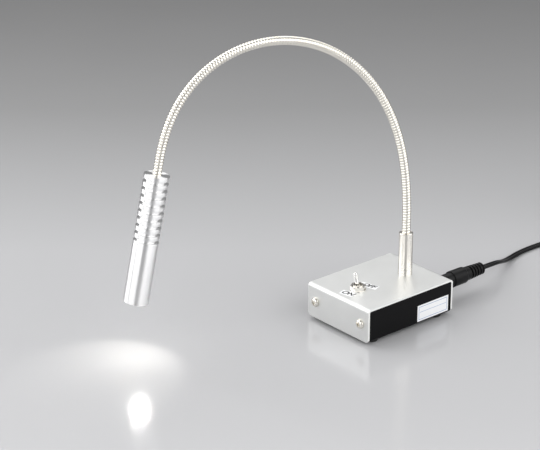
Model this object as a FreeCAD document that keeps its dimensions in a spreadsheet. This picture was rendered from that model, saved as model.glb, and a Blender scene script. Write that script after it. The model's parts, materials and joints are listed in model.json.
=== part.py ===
import FreeCAD, Part
import math
import os
import re
import Sketcher

# Gooseneck bench illuminator: a small weighted aluminium case with a toggle switch, a plated
# stem, a bendable ribbed neck with a finned lamp at its end, and a low voltage supply lead.
# Millimetres. +Z is up, +Y runs from the switch end of the case to the socket end, and the
# origin is the middle of the case on the surface that it stands on.

V = FreeCAD.Vector
doc = FreeCAD.newDocument("bench_illuminator")
dims = doc.addObject("Spreadsheet::Sheet", "dims")
aliases = []
made = []


def size(alias, value):
    """Write one size, a number or a formula, into the sheet and hand its number back."""
    aliases.append(alias)
    row = len(aliases)
    dims.set("A%d" % row, alias)
    dims.set("B%d" % row, str(value))
    dims.setAlias("B%d" % row, alias)
    dims.recompute()
    return float(dims.get(alias))


def on_sheet(formula):
    """Point the size names of a formula at the sheet."""
    def named(word):
        return "dims." + word.group() if word.group() in aliases else word.group()
    return re.sub(r"[a-z_]+[a-z_0-9]*", named, formula)


def worth(formula):
    """Give a formula's number."""
    return float(dims.evalExpression(on_sheet(formula)))


# Case and feet
case_length = size("case_length", 65.0)
case_width = size("case_width", 50.0)
case_height = size("case_height", 20.0)
foot_height = size("foot_height", 2.0)
foot_diameter = size("foot_diameter", 8.0)
foot_base_diameter = size("foot_base_diameter", 7.2)
foot_inset_x = size("foot_inset_x", 6.0)
foot_inset_y = size("foot_inset_y", 8.0)
cover_sheet = size("cover_sheet", 1.1)
cover_bend = size("cover_bend", 0.9)
cover_corner = size("cover_corner", 2.0)
tray_sheet = size("tray_sheet", 1.0)
tray_bend = size("tray_bend", 1.0)
sheet_gap = size("sheet_gap", 0.1)
flange_width = size("flange_width", 9.5)
flange_relief = size("flange_relief", 1.0)
case_top = size("case_top", "=foot_height + case_height")
tray_floor = size("tray_floor", "=foot_height + tray_sheet")
tray_top = size("tray_top", "=case_top - cover_sheet - sheet_gap")
tray_length = size("tray_length", "=case_length - 2 * cover_sheet - 2 * sheet_gap")

# Screws
screw_diameter = size("screw_diameter", 3.0)
screw_head = size("screw_head", 5.6)
screw_head_height = size("screw_head_height", 2.0)
screw_length = size("screw_length", 6.0)
screw_inset = size("screw_inset", 6.4)
screw_gap = size("screw_gap", 0.05)
screw_z = size("screw_z", "=foot_height + case_height / 2")
recess_length = size("recess_length", 3.4)
recess_width = size("recess_width", 0.8)
recess_depth = size("recess_depth", 1.1)
floor_screw_head_height = size("floor_screw_head_height", 1.5)
floor_screw_spread = size("floor_screw_spread", 15.0)
floor_screw_short = size("floor_screw_short", 0.5)

# Ballast
ballast_side_gap = size("ballast_side_gap", 1.0)
ballast_end_gap = size("ballast_end_gap", 2.3)
ballast_length = size("ballast_length", "=tray_length - 2 * tray_sheet - 2 * ballast_end_gap")
ballast_width = size("ballast_width", "=case_width - 2 * tray_sheet - 2 * ballast_side_gap")
ballast_thickness = size("ballast_thickness", 4.5)
ballast_top = size("ballast_top", "=tray_floor + ballast_thickness")

# Stem
stem_x = size("stem_x", 1.5)
stem_inset = size("stem_inset", 15.0)
stem_y = size("stem_y", "=case_length / 2 - stem_inset")
stem_diameter = size("stem_diameter", 8.0)
stem_height = size("stem_height", 25.5)
stem_chamfer = size("stem_chamfer", 0.3)
spigot_diameter = size("spigot_diameter", 6.0)
spigot_length = size("spigot_length", 7.1)
spigot_gap = size("spigot_gap", 0.1)
wire_bore = size("wire_bore", 3.0)
stem_washer_diameter = size("stem_washer_diameter", 11.0)
stem_washer_thickness = size("stem_washer_thickness", 0.8)
stem_nut_flats = size("stem_nut_flats", 10.0)
stem_nut_height = size("stem_nut_height", 3.0)

# Neck
neck_diameter = size("neck_diameter", 5.0)
neck_bore = size("neck_bore", 2.6)
neck_length = size("neck_length", 268.0)
neck_links = size("neck_links", 18)
ribs_per_link = size("ribs_per_link", 9)
ridge_depth = size("ridge_depth", 0.25)
crest_share = size("crest_share", 0.5)
groove_share = size("groove_share", 0.02)
neck_seat_gap = size("neck_seat_gap", 0.05)
neck_grip = size("neck_grip", 18.0)
neck_entry = size("neck_entry", 8.0)
joint_ball = size("joint_ball", 4.9)
joint_play = size("joint_play", 0.05)
joint_rim = size("joint_rim", 1.0)
neck_turn = size("neck_turn", 169.0)
neck_rise = size("neck_rise", 0.6)
neck_fall = size("neck_fall", 11.0)
neck_heading = size("neck_heading", 18.0)
neck_seat = size("neck_seat", "=neck_diameter + 2 * neck_seat_gap")

# Lamp
lamp_diameter = size("lamp_diameter", 14.0)
lamp_length = size("lamp_length", 73.0)
lamp_root = size("lamp_root", 10.8)
ring_count = size("ring_count", 9)
ring_pitch = size("ring_pitch", 4.15)
ring_thickness = size("ring_thickness", 2.3)
lamp_chamfer = size("lamp_chamfer", 0.4)
lamp_pocket = size("lamp_pocket", 11.6)
lamp_pocket_depth = size("lamp_pocket_depth", 11.0)
lead_bore = size("lead_bore", 4.0)
lead_diameter = size("lead_diameter", 0.9)
lead_spread = size("lead_spread", 0.6)
lead_tail = size("lead_tail", 3.0)
lamp_fit = size("lamp_fit", 0.1)
board_thickness = size("board_thickness", 1.5)
emitter_side = size("emitter_side", 3.5)
emitter_thickness = size("emitter_thickness", 0.8)
dome_radius = size("dome_radius", 1.3)
spacer_length = size("spacer_length", 4.0)
spacer_bore = size("spacer_bore", 9.0)
lens_thickness = size("lens_thickness", 3.0)
lens_edge = size("lens_edge", 1.4)
lens_curve = size("lens_curve", 8.0)
lens_ring_thickness = size("lens_ring_thickness", 1.5)
lens_ring_bore = size("lens_ring_bore", 9.8)

# Toggle switch
switch_inset = size("switch_inset", 15.0)
switch_y = size("switch_y", "=switch_inset - case_length / 2")
switch_length = size("switch_length", 12.7)
switch_width = size("switch_width", 6.9)
switch_body_height = size("switch_body_height", 8.3)
switch_plate = size("switch_plate", 0.6)
bushing_diameter = size("bushing_diameter", 6.0)
bushing_height = size("bushing_height", 3.0)
bushing_gap = size("bushing_gap", 0.1)
bushing_mouth = size("bushing_mouth", 4.5)
bushing_throat = size("bushing_throat", 3.1)
switch_washer_diameter = size("switch_washer_diameter", 9.0)
switch_washer_thickness = size("switch_washer_thickness", 0.4)
switch_nut_flats = size("switch_nut_flats", 8.0)
switch_nut_height = size("switch_nut_height", 2.0)
lever_pivot = size("lever_pivot", 0.4)
lever_ball = size("lever_ball", 2.9)
lever_root = size("lever_root", 1.7)
lever_tip = size("lever_tip", 2.6)
lever_length = size("lever_length", 10.8)
lever_tail = size("lever_tail", 3.2)
lever_tilt = size("lever_tilt", 13.0)
lever_pocket = size("lever_pocket", 4.4)
lever_pocket_width = size("lever_pocket_width", 2.6)
lever_pocket_depth = size("lever_pocket_depth", 3.2)
terminal_pitch = size("terminal_pitch", 4.7)
terminal_width = size("terminal_width", 2.0)
terminal_thickness = size("terminal_thickness", 0.7)
terminal_length = size("terminal_length", 3.8)

# Lamp current board
board_length = size("board_length", 16.0)
board_width = size("board_width", 26.0)
board_sheet = size("board_sheet", 1.2)
board_y = size("board_y", 2.0)
pad_thickness = size("pad_thickness", 2.0)
pad_margin = size("pad_margin", 1.5)
board_top = size("board_top", "=ballast_top + pad_thickness + board_sheet")
choke_diameter = size("choke_diameter", 6.0)
choke_height = size("choke_height", 4.0)
chip_side = size("chip_side", 4.0)
chip_height = size("chip_height", 1.5)
capacitor_diameter = size("capacitor_diameter", 5.0)
capacitor_height = size("capacitor_height", 6.0)
hookup_diameter = size("hookup_diameter", 0.9)
feed_pad_x = size("feed_pad_x", 5.6)
switch_pad_x = size("switch_pad_x", 2.8)
lamp_pad_spread = size("lamp_pad_spread", 1.2)

# Supply socket and plug
socket_inset = size("socket_inset", 16.0)
socket_x = size("socket_x", "=case_width / 2 - socket_inset")
socket_z = size("socket_z", "=foot_height + case_height / 2")
socket_diameter = size("socket_diameter", 8.0)
socket_gap = size("socket_gap", 0.1)
socket_bore = size("socket_bore", 5.7)
socket_flange = size("socket_flange", 9.6)
socket_flange_thickness = size("socket_flange_thickness", 1.0)
socket_reach = size("socket_reach", 3.4)
socket_depth = size("socket_depth", 10.0)
socket_floor = size("socket_floor", 1.2)
socket_pin = size("socket_pin", 2.0)
socket_tag = size("socket_tag", 3.0)
socket_nut_flats = size("socket_nut_flats", 10.0)
socket_nut_height = size("socket_nut_height", 2.0)
plug_gap = size("plug_gap", 0.3)
plug_barrel = size("plug_barrel", 5.5)
plug_barrel_bore = size("plug_barrel_bore", 2.5)
plug_barrel_reach = size("plug_barrel_reach", 9.0)
plug_barrel_root = size("plug_barrel_root", 3.0)
plug_diameter = size("plug_diameter", 9.8)
plug_front = size("plug_front", 8.6)
plug_front_length = size("plug_front_length", 10.8)
plug_grip_length = size("plug_grip_length", 21.0)
plug_neck_diameter = size("plug_neck_diameter", 8.2)
plug_neck_length = size("plug_neck_length", 3.4)
relief_end_diameter = size("relief_end_diameter", 7.0)
relief_groove_diameter = size("relief_groove_diameter", 5.6)
relief_grooves = size("relief_grooves", 5)
relief_groove_share = size("relief_groove_share", 0.3)
relief_length = size("relief_length", 11.4)
plug_length = size("plug_length", "=plug_grip_length + plug_neck_length + relief_length")
plug_y = size("plug_y", "=case_length / 2 + socket_reach + plug_gap")

# Supply lead, its coil and the mains adapter
cord_diameter = size("cord_diameter", 3.8)
cord_lift = size("cord_lift", 0.05)
coil_pitch = size("coil_pitch", 4.4)
coil_mean_radius = size("coil_mean_radius", 21.0)
coil_turns_per_layer = size("coil_turns_per_layer", 5)
coil_tuck = size("coil_tuck", 1.0)
coil_x = size("coil_x", 21.5)
coil_y = size("coil_y", 176.0)
tie_width = size("tie_width", 4.0)
tie_thickness = size("tie_thickness", 0.6)
tie_gap = size("tie_gap", 0.1)
tie_angle = size("tie_angle", 30.0)
tail_lead = size("tail_lead", 4.0)
adapter_x = size("adapter_x", -11.0)
adapter_y = size("adapter_y", 231.0)
adapter_width = size("adapter_width", 28.0)
adapter_length = size("adapter_length", 46.0)
adapter_height = size("adapter_height", 24.0)
adapter_wall = size("adapter_wall", 1.8)
adapter_corner = size("adapter_corner", 3.0)
adapter_cord_z = size("adapter_cord_z", 8.0)
grommet_length = size("grommet_length", 9.0)
grommet_diameter = size("grommet_diameter", 6.5)
grommet_lip = size("grommet_lip", 0.4)
blade_width = size("blade_width", 6.3)
blade_thickness = size("blade_thickness", 1.5)
blade_length = size("blade_length", 17.0)
blade_spread = size("blade_spread", 12.7)
adapter_board_sheet = size("adapter_board_sheet", 1.6)
transformer_side = size("transformer_side", 14.0)
transformer_height = size("transformer_height", 11.0)

# Label plate
label_length = size("label_length", 24.0)
label_height = size("label_height", 9.8)
label_thickness = size("label_thickness", 0.2)
label_y = size("label_y", 5.0)
label_z = size("label_z", 3.7)


def near(one, other):
    """Tell whether two numbers are the same but for rounding."""
    return abs(one - other) < 0.001


def place(piece, at, turn=None):
    """Bind a piece's place to formulas, after an optional turn of (axis, degrees)."""
    if turn:
        piece.Placement = FreeCAD.Placement(V(), FreeCAD.Rotation(*turn))
    for axis, formula in zip("xyz", at):
        if formula != "0":
            piece.setExpression("Placement.Base." + axis, on_sheet(formula))
    return piece


def solid(kind, name, at=("0", "0", "0"), turn=None, **bound):
    """Add a primitive with its sizes and its place bound to the sheet."""
    piece = doc.addObject("Part::" + kind, name)
    for field, formula in bound.items():
        piece.setExpression(field, on_sheet(formula))
    return place(piece, at, turn)


def block(name, spans):
    """Add a box that fills three spans, each a pair of formulas."""
    low = [span[0] for span in spans]
    reach = ["(%s) - (%s)" % (span[1], span[0]) for span in spans]
    return solid("Box", name, low, Length=reach[0], Width=reach[1], Height=reach[2])


def rod(name, diameter, low, high, x="0", y="0"):
    """Add an upright cylinder between two heights."""
    return solid("Cylinder", name, (x, y, low),
                 Radius="(%s) / 2" % diameter, Height="(%s) - (%s)" % (high, low))


def hexagon(name, flats, low, high):
    """Add an upright hexagonal bar, sized across its flats."""
    bar = doc.addObject("Part::Prism", name)
    bar.Polygon = 6
    bar.setExpression("Circumradius", on_sheet("(%s) / 2 / cos(30)" % flats))
    bar.setExpression("Height", on_sheet("(%s) - (%s)" % (high, low)))
    return place(bar, ("0", "0", low))


def cut(name, base, *tools):
    """Take one or more pieces out of another."""
    tool = tools[0]
    if len(tools) > 1:
        tool = fuse(name + "_tools", *tools)
    piece = doc.addObject("Part::Cut", name)
    piece.Base = base
    piece.Tool = tool
    return piece


def fuse(name, *pieces):
    """Join pieces into one solid."""
    piece = doc.addObject("Part::MultiFuse", name)
    piece.Shapes = list(pieces)
    return piece


def group(name, *pieces):
    """Keep like solids together without joining them."""
    piece = doc.addObject("Part::Compound", name)
    piece.Links = list(pieces)
    return piece


def shaped(name, shape, placement=None):
    """Hold a shape that is worked out below, and put it in its place."""
    piece = doc.addObject("Part::Feature", name)
    piece.Shape = shape
    if placement:
        piece.Placement = placement
    return piece


def keep(piece):
    """Count a finished sub-part in."""
    piece.Label = piece.Name
    made.append(piece)
    return piece


def outline(body, role, corners):
    """Sketch a closed outline on an origin plane, each corner bound to its two formulas."""
    sketch = body.newObject("Sketcher::SketchObject", body.Name + "_outline")
    plane = [part for part in body.Origin.OriginFeatures if part.Role == role][0]
    sketch.AttachmentSupport = [(plane, "")]
    sketch.MapMode = "FlatFace"
    spots = [V(worth(across), worth(up), 0) for across, up in corners]
    last = len(corners) - 1
    for corner, spot in enumerate(spots):
        following = spots[corner + 1] if corner < last else spots[0]
        sketch.addGeometry(Part.LineSegment(spot, following))
    for corner, formulas in enumerate(corners):
        following = corner + 1 if corner < last else 0
        sketch.addConstraint(Sketcher.Constraint("Coincident", corner, 2, following, 1))
        for kind, formula, value in zip(("DistanceX", "DistanceY"), formulas, spots[corner]):
            number = sketch.addConstraint(Sketcher.Constraint(kind, -1, 1, corner, 1, value))
            sketch.setExpression("Constraints[%d]" % number, on_sheet(formula))
    return sketch


def circles(body, role, holes):
    """Sketch circles on an origin plane from (across, up, diameter) formulas."""
    sketch = body.newObject("Sketcher::SketchObject", body.Name + "_holes")
    plane = [part for part in body.Origin.OriginFeatures if part.Role == role][0]
    sketch.AttachmentSupport = [(plane, "")]
    sketch.MapMode = "FlatFace"
    for ring, (across, up, diameter) in enumerate(holes):
        values = (worth(across), worth(up), worth(diameter))
        sketch.addGeometry(Part.Circle(V(values[0], values[1], 0), V(0, 0, 1), values[2] / 2))
        bound = (Sketcher.Constraint("DistanceX", -1, 1, ring, 3, values[0]),
                 Sketcher.Constraint("DistanceY", -1, 1, ring, 3, values[1]),
                 Sketcher.Constraint("Diameter", ring, values[2]))
        for rule, formula in zip(bound, (across, up, diameter)):
            number = sketch.addConstraint(rule)
            sketch.setExpression("Constraints[%d]" % number, on_sheet(formula))
    return sketch


def pad(body, sketch, length):
    """Pad a sketch to both sides of its plane."""
    feature = body.newObject("PartDesign::Pad", body.Name + "_pad")
    feature.Profile = sketch
    feature.SideType = "Symmetric"
    feature.setExpression("Length", on_sheet(length))
    sketch.Visibility = False
    doc.recompute()
    return feature


def drill(body, sketch, both=False, back=False):
    """Pocket circles right through, and make sure that they took something away."""
    before = body.Shape.Volume
    feature = body.newObject("PartDesign::Pocket", body.Name + "_drilled")
    feature.Profile = sketch
    feature.Type = "ThroughAll"
    if both:
        feature.SideType = "Symmetric"
    feature.Reversed = back
    doc.recompute()
    if body.Shape.Volume >= before:
        raise ValueError(body.Name + " was not drilled")
    return feature


def round_edges(body, radius, wanted):
    """Fillet the edges whose middle and direction pass a test."""
    base = body.Tip
    names = []
    for number, edge in enumerate(base.Shape.Edges, 1):
        way = edge.tangentAt(edge.FirstParameter)
        if edge.Curve.TypeId == "Part::GeomLine" and wanted(edge.CenterOfMass, way):
            names.append("Edge%d" % number)
    feature = body.newObject("PartDesign::Fillet", body.Name + "_rounded")
    feature.Base = (base, names)
    feature.setExpression("Radius", on_sheet(radius))
    doc.recompute()
    return feature


def turned(name, corners, at=("0", "0", "0"), turn=None):
    """Turn a half section, given as (radius, height) corners, about the upright axis."""
    body = doc.addObject("PartDesign::Body", name)
    sketch = outline(body, "XZ_Plane", corners)
    feature = body.newObject("PartDesign::Revolution", name + "_turned")
    feature.Profile = sketch
    feature.ReferenceAxis = (sketch, ["V_Axis"])
    feature.Angle = 360
    return place(body, at, turn)


def pan_screw(name, head_height, length, at, turn):
    """A pan head screw with a cross recess, its seat at its own origin."""
    head = rod(name + "_head", "screw_head", "0", head_height)
    shank = rod(name + "_shank", "screw_diameter", "-(%s)" % length, "0")
    low = "(%s) - recess_depth" % head_height
    long_side = ("-recess_length / 2", "recess_length / 2")
    short_side = ("-recess_width / 2", "recess_width / 2")
    one = block(name + "_recess_a", (long_side, short_side, (low, head_height)))
    two = block(name + "_recess_b", (short_side, long_side, (low, head_height)))
    return place(cut(name, fuse(name + "_blank", head, shank), one, two), at, turn)


def route(points, arc_share=0.45):
    """Straight runs joined by tangent arcs, each as large as its two runs allow."""
    edges = []
    radii = []
    start = points[0]
    for before, corner, after in zip(points, points[1:], points[2:]):
        inward = (corner - before).normalize()
        onward = (after - corner).normalize()
        turn = inward.getAngle(onward)
        shorter = min((corner - before).Length, (after - corner).Length)
        setback = arc_share * shorter
        radius = setback / math.tan(turn / 2)
        first = corner - inward * setback
        final = corner + onward * setback
        middle_line = (onward - inward).normalize()
        middle = corner + middle_line * (radius / math.cos(turn / 2) - radius)
        edges.append(Part.LineSegment(start, first).toShape())
        edges.append(Part.Arc(first, middle, final).toShape())
        radii.append(radius)
        start = final
    edges.append(Part.LineSegment(start, points[-1]).toShape())
    return Part.Wire(edges), radii


def tube(wire, diameter, name):
    """A round tube along a wire, its volume compared with its section times its length."""
    first = wire.Edges[0]
    heading = first.tangentAt(first.FirstParameter)
    section = Part.Wire(Part.makeCircle(diameter / 2, first.valueAt(first.FirstParameter), heading))
    shape = wire.makePipeShell([section], True, False)
    ratio = shape.Volume / (math.pi * diameter ** 2 / 4 * wire.Length)
    print("%s: length %.1f, volume ratio %.4f" % (name, wire.Length, ratio))
    return shape


# Top cover: sheet aluminium bent down at both ends, drilled for stem, switch, screws and socket
cover = doc.addObject("PartDesign::Body", "top_cover")
cover_outline = outline(cover, "YZ_Plane", (
    ("-case_length / 2", "foot_height"),
    ("-case_length / 2", "case_top"),
    ("case_length / 2", "case_top"),
    ("case_length / 2", "foot_height"),
    ("case_length / 2 - cover_sheet", "foot_height"),
    ("case_length / 2 - cover_sheet", "case_top - cover_sheet"),
    ("-case_length / 2 + cover_sheet", "case_top - cover_sheet"),
    ("-case_length / 2 + cover_sheet", "foot_height")))
pad(cover, cover_outline, "case_width")
round_edges(cover, "cover_bend + cover_sheet",
            lambda mid, way: near(abs(way.x), 1) and near(mid.z, case_top))
round_edges(cover, "cover_bend",
            lambda mid, way: near(abs(way.x), 1) and near(mid.z, case_top - cover_sheet))
round_edges(cover, "cover_corner",
            lambda mid, way: near(abs(way.y), 1) and near(mid.z, foot_height)
            and near(abs(mid.x), case_width / 2))
drill(cover, circles(cover, "XY_Plane", (
    ("stem_x", "stem_y", "spigot_diameter + 2 * spigot_gap"),
    ("0", "switch_y", "bushing_diameter + 2 * bushing_gap"))), back=True)
drill(cover, circles(cover, "XZ_Plane", (
    ("case_width / 2 - screw_inset", "screw_z", "screw_diameter + 2 * screw_gap"),
    ("screw_inset - case_width / 2", "screw_z", "screw_diameter + 2 * screw_gap"))), both=True)
drill(cover, circles(cover, "XZ_Plane", (
    ("socket_x", "socket_z", "socket_diameter + 2 * socket_gap"),)))
keep(cover)

# Bottom tray: painted sheet with upright sides, and flanges inside the ends for the cover screws
tray = doc.addObject("PartDesign::Body", "bottom_tray")
tray_outline = outline(tray, "XZ_Plane", (
    ("-case_width / 2", "foot_height"),
    ("case_width / 2", "foot_height"),
    ("case_width / 2", "tray_top"),
    ("case_width / 2 - tray_sheet", "tray_top"),
    ("case_width / 2 - tray_sheet", "tray_floor"),
    ("-case_width / 2 + tray_sheet", "tray_floor"),
    ("-case_width / 2 + tray_sheet", "tray_top"),
    ("-case_width / 2", "tray_top")))
pad(tray, tray_outline, "tray_length")
round_edges(tray, "tray_bend + tray_sheet",
            lambda mid, way: near(abs(way.y), 1) and near(mid.z, foot_height))
round_edges(tray, "tray_bend",
            lambda mid, way: near(abs(way.y), 1) and near(mid.z, tray_floor))
for end, y_low in (("front", "-tray_length / 2"), ("rear", "tray_length / 2 - tray_sheet")):
    for side, x_low in (("left", "-case_width / 2"),
                        ("right", "case_width / 2 - tray_sheet - flange_width")):
        flange = tray.newObject("PartDesign::AdditiveBox", "flange_%s_%s" % (end, side))
        flange.setExpression("Length", on_sheet("tray_sheet + flange_width"))
        flange.setExpression("Width", on_sheet("tray_sheet"))
        flange.setExpression("Height", on_sheet("tray_top - tray_floor - tray_bend - flange_relief"))
        place(flange, (x_low, y_low, "tray_floor + tray_bend + flange_relief"))
        doc.recompute()
round_edges(tray, "cover_bend - sheet_gap",
            lambda mid, way: near(abs(way.x), 1) and near(mid.z, tray_top)
            and near(abs(mid.y), tray_length / 2))
drill(tray, circles(tray, "XZ_Plane", (
    ("case_width / 2 - screw_inset", "screw_z", "screw_diameter + 2 * screw_gap"),
    ("screw_inset - case_width / 2", "screw_z", "screw_diameter + 2 * screw_gap"))), both=True)
drill(tray, circles(tray, "XY_Plane", (
    ("-floor_screw_spread", "0", "screw_diameter + 2 * screw_gap"),
    ("floor_screw_spread", "0", "screw_diameter + 2 * screw_gap"))), back=True)
keep(tray)

# Cover screws: two pan heads in each end
cover_screws = []
for end, y_seat, degrees in (("front", "-case_length / 2", 90), ("rear", "case_length / 2", -90)):
    for side, x_seat in (("left", "screw_inset - case_width / 2"),
                         ("right", "case_width / 2 - screw_inset")):
        cover_screws.append(pan_screw("screw_%s_%s" % (end, side), "screw_head_height", "screw_length",
                                      (x_seat, y_seat, "screw_z"), (V(1, 0, 0), degrees)))
keep(group("cover_screws", *cover_screws))

# Feet: four tapered rubber bumpers
feet = []
for row, y_foot in (("front", "foot_inset_y - case_length / 2"),
                    ("rear", "case_length / 2 - foot_inset_y")):
    for side, x_foot in (("left", "foot_inset_x - case_width / 2"),
                         ("right", "case_width / 2 - foot_inset_x")):
        feet.append(solid("Cone", "foot_%s_%s" % (row, side), (x_foot, y_foot, "0"),
                          Radius1="foot_base_diameter / 2", Radius2="foot_diameter / 2",
                          Height="foot_height"))
keep(group("rubber_feet", *feet))

# Ballast: a steel plate on the tray floor, held from below by two screws
plate = block("ballast_blank", (("-ballast_width / 2", "ballast_width / 2"),
                                ("-ballast_length / 2", "ballast_length / 2"),
                                ("tray_floor", "ballast_top")))
floor_screw_spots = (("left", "-floor_screw_spread"), ("right", "floor_screw_spread"))
tapped = [rod("ballast_hole_" + side, "screw_diameter + 2 * screw_gap", "tray_floor", "ballast_top",
              x=x_hole)
          for side, x_hole in floor_screw_spots]
keep(cut("ballast_plate", plate, *tapped))
keep(group("ballast_screws", *[
    pan_screw("ballast_screw_" + side, "floor_screw_head_height",
              "tray_sheet + ballast_thickness - floor_screw_short",
              (x_hole, "0", "foot_height"), (V(1, 0, 0), 180))
    for side, x_hole in floor_screw_spots]))

# Stem: a plated tube with a threaded spigot, clamped through the cover by a washer and a nut
keep(turned("stem_sleeve", (
    ("wire_bore / 2", "-spigot_length"),
    ("spigot_diameter / 2", "-spigot_length"),
    ("spigot_diameter / 2", "0"),
    ("stem_diameter / 2", "0"),
    ("stem_diameter / 2", "stem_height - stem_chamfer"),
    ("stem_diameter / 2 - stem_chamfer", "stem_height"),
    ("neck_seat / 2", "stem_height"),
    ("neck_seat / 2", "stem_height - neck_grip - neck_seat_gap"),
    ("wire_bore / 2", "stem_height - neck_grip - neck_seat_gap")), ("stem_x", "stem_y", "case_top")))
under_cover = "-cover_sheet"
under_washer = "-cover_sheet - stem_washer_thickness"
stem_hole = "spigot_diameter + 2 * spigot_gap"
washer_blank = rod("stem_washer_blank", "stem_washer_diameter", under_washer, under_cover)
washer_hole = rod("stem_washer_hole", stem_hole, under_washer, under_cover)
keep(place(cut("stem_washer", washer_blank, washer_hole), ("stem_x", "stem_y", "case_top")))
nut_low = under_washer + " - stem_nut_height"
nut_blank = hexagon("stem_nut_blank", "stem_nut_flats", nut_low, under_washer)
nut_hole = rod("stem_nut_hole", stem_hole, nut_low, under_washer)
keep(place(cut("stem_nut", nut_blank, nut_hole), ("stem_x", "stem_y", "case_top")))

# Neck: a ribbed tube in equal lengths, each with a ball at its far end that the next one's
# cup turns on; the bend between lengths grows along the neck and fades before the lamp
link_count = int(neck_links)
rib_count = int(ribs_per_link)
link_length = neck_length / link_count
rib_pitch = link_length / rib_count
crest = neck_diameter / 2
valley = crest - ridge_depth
slope_end = (1 - crest_share) / 2 * rib_pitch
groove_end = groove_share / 2 * rib_pitch
ball_radius = joint_ball / 2
cup_radius = ball_radius + joint_play
bore = neck_bore / 2


def rise_at(radius, across):
    """Height on a ball above its middle, at a distance from its axis."""
    return math.sqrt(radius ** 2 - across ** 2)


def link_section(cupped, balled, below, beyond):
    """Half section of one length of neck, from a cup or plain end to a ball or plain end."""
    edges = []
    spots = []
    if cupped:
        spots.append(V(rise_at(cup_radius, joint_rim), 0, joint_rim))
        spots.append(V(crest, 0, joint_rim))
    else:
        spots.append(V(bore, 0, -below))
        spots.append(V(crest, 0, -below))
    for rib in range(rib_count):
        low = rib * rib_pitch
        if rib or not cupped:
            spots.append(V(valley, 0, low + groove_end))
            spots.append(V(crest, 0, low + slope_end))
        spots.append(V(crest, 0, low + rib_pitch - slope_end))
        if rib < rib_count - 1 or not balled:
            spots.append(V(valley, 0, low + rib_pitch - groove_end))
    if balled:
        spots.append(V(rise_at(ball_radius, slope_end), 0, link_length - slope_end))
        top = V(bore, 0, link_length + rise_at(ball_radius, bore))
        way = math.atan2(-slope_end, rise_at(ball_radius, slope_end))
        half = (way + math.acos(bore / ball_radius)) / 2
        middle = V(ball_radius * math.cos(half), 0, link_length + ball_radius * math.sin(half))
        ball_arc = Part.Arc(spots[-1], middle, top).toShape()
    else:
        spots.append(V(crest, 0, link_length))
        spots.append(V(crest, 0, link_length + beyond))
        top = V(bore, 0, link_length + beyond)
    for one, two in zip(spots, spots[1:]):
        edges.append(Part.LineSegment(one, two).toShape())
    edges.append(ball_arc if balled else Part.LineSegment(spots[-1], top).toShape())
    if cupped:
        mouth = V(bore, 0, rise_at(cup_radius, bore))
        half = (math.asin(joint_rim / cup_radius) + math.acos(bore / cup_radius)) / 2
        middle = V(cup_radius * math.cos(half), 0, cup_radius * math.sin(half))
        edges.append(Part.LineSegment(top, mouth).toShape())
        edges.append(Part.Arc(mouth, middle, spots[0]).toShape())
    else:
        edges.append(Part.LineSegment(top, spots[0]).toShape())
    return Part.Face(Part.Wire(edges)).revolve(V(), V(0, 0, 1), 360)


shares = [(step / link_count) ** neck_rise * (1 - (step / link_count) ** neck_fall)
          for step in range(1, link_count)]
kinks = [0.0] + [neck_turn * share / sum(shares) for share in shares]
facing = math.radians(neck_heading)
outward = V(-math.sin(facing), -math.cos(facing), 0)
sideways = V(0, 0, 1).cross(outward)
square = FreeCAD.Rotation(outward, V(0, 0, 1).cross(outward), V(0, 0, 1), "ZXY")
joint_spot = V(stem_x, stem_y, case_top + stem_height)
lean = 0.0
joint_spots = []
for number, kink in enumerate(kinks, 1):
    lean += kink
    stance = FreeCAD.Rotation(sideways, lean) * square
    shape = link_section(number > 1, number < link_count, neck_grip, neck_entry)
    keep(shaped("neck_link_%02d" % number, shape, FreeCAD.Placement(joint_spot, stance)))
    joint_spots.append(joint_spot)
    joint_spot = joint_spot + stance.multVec(V(0, 0, link_length))
lamp_place = FreeCAD.Placement(joint_spot, stance)
for number, (spot, kink) in enumerate(zip(joint_spots, kinks)):
    print("neck joint %d: at %.4f %.4f %.4f, rest bend %.2f" % (number, *spot, kink))
print("lamp: at %.4f %.4f %.4f, lean %.2f" % (*joint_spot, lean))
print("bend axis %.5f %.5f %.5f" % tuple(sideways))


def on_lamp(piece):
    """Put a piece that is drawn along the upright axis at the lamp end of the neck."""
    piece.Placement = lamp_place
    return keep(piece)


# Lamp body: a turned aluminium bar with cooling rings next to the neck and a pocket at its end
rings = []
for ring in range(int(ring_count)):
    rings.append(("lamp_diameter / 2", "%d * ring_pitch" % ring))
    rings.append(("lamp_diameter / 2", "%d * ring_pitch + ring_thickness" % ring))
    rings.append(("lamp_root / 2", "%d * ring_pitch + ring_thickness" % ring))
    rings.append(("lamp_root / 2", "%d * ring_pitch" % (ring + 1)))
on_lamp(turned("lamp_body", (
    ("neck_seat / 2", "0"),
    *rings,
    ("lamp_diameter / 2", "ring_count * ring_pitch"),
    ("lamp_diameter / 2", "lamp_length - lamp_chamfer"),
    ("lamp_diameter / 2 - lamp_chamfer", "lamp_length"),
    ("lamp_pocket / 2", "lamp_length"),
    ("lamp_pocket / 2", "lamp_length - lamp_pocket_depth"),
    ("lead_bore / 2", "lamp_length - lamp_pocket_depth"),
    ("lead_bore / 2", "neck_entry + neck_seat_gap"),
    ("neck_seat / 2", "neck_entry + neck_seat_gap"))))

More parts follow.
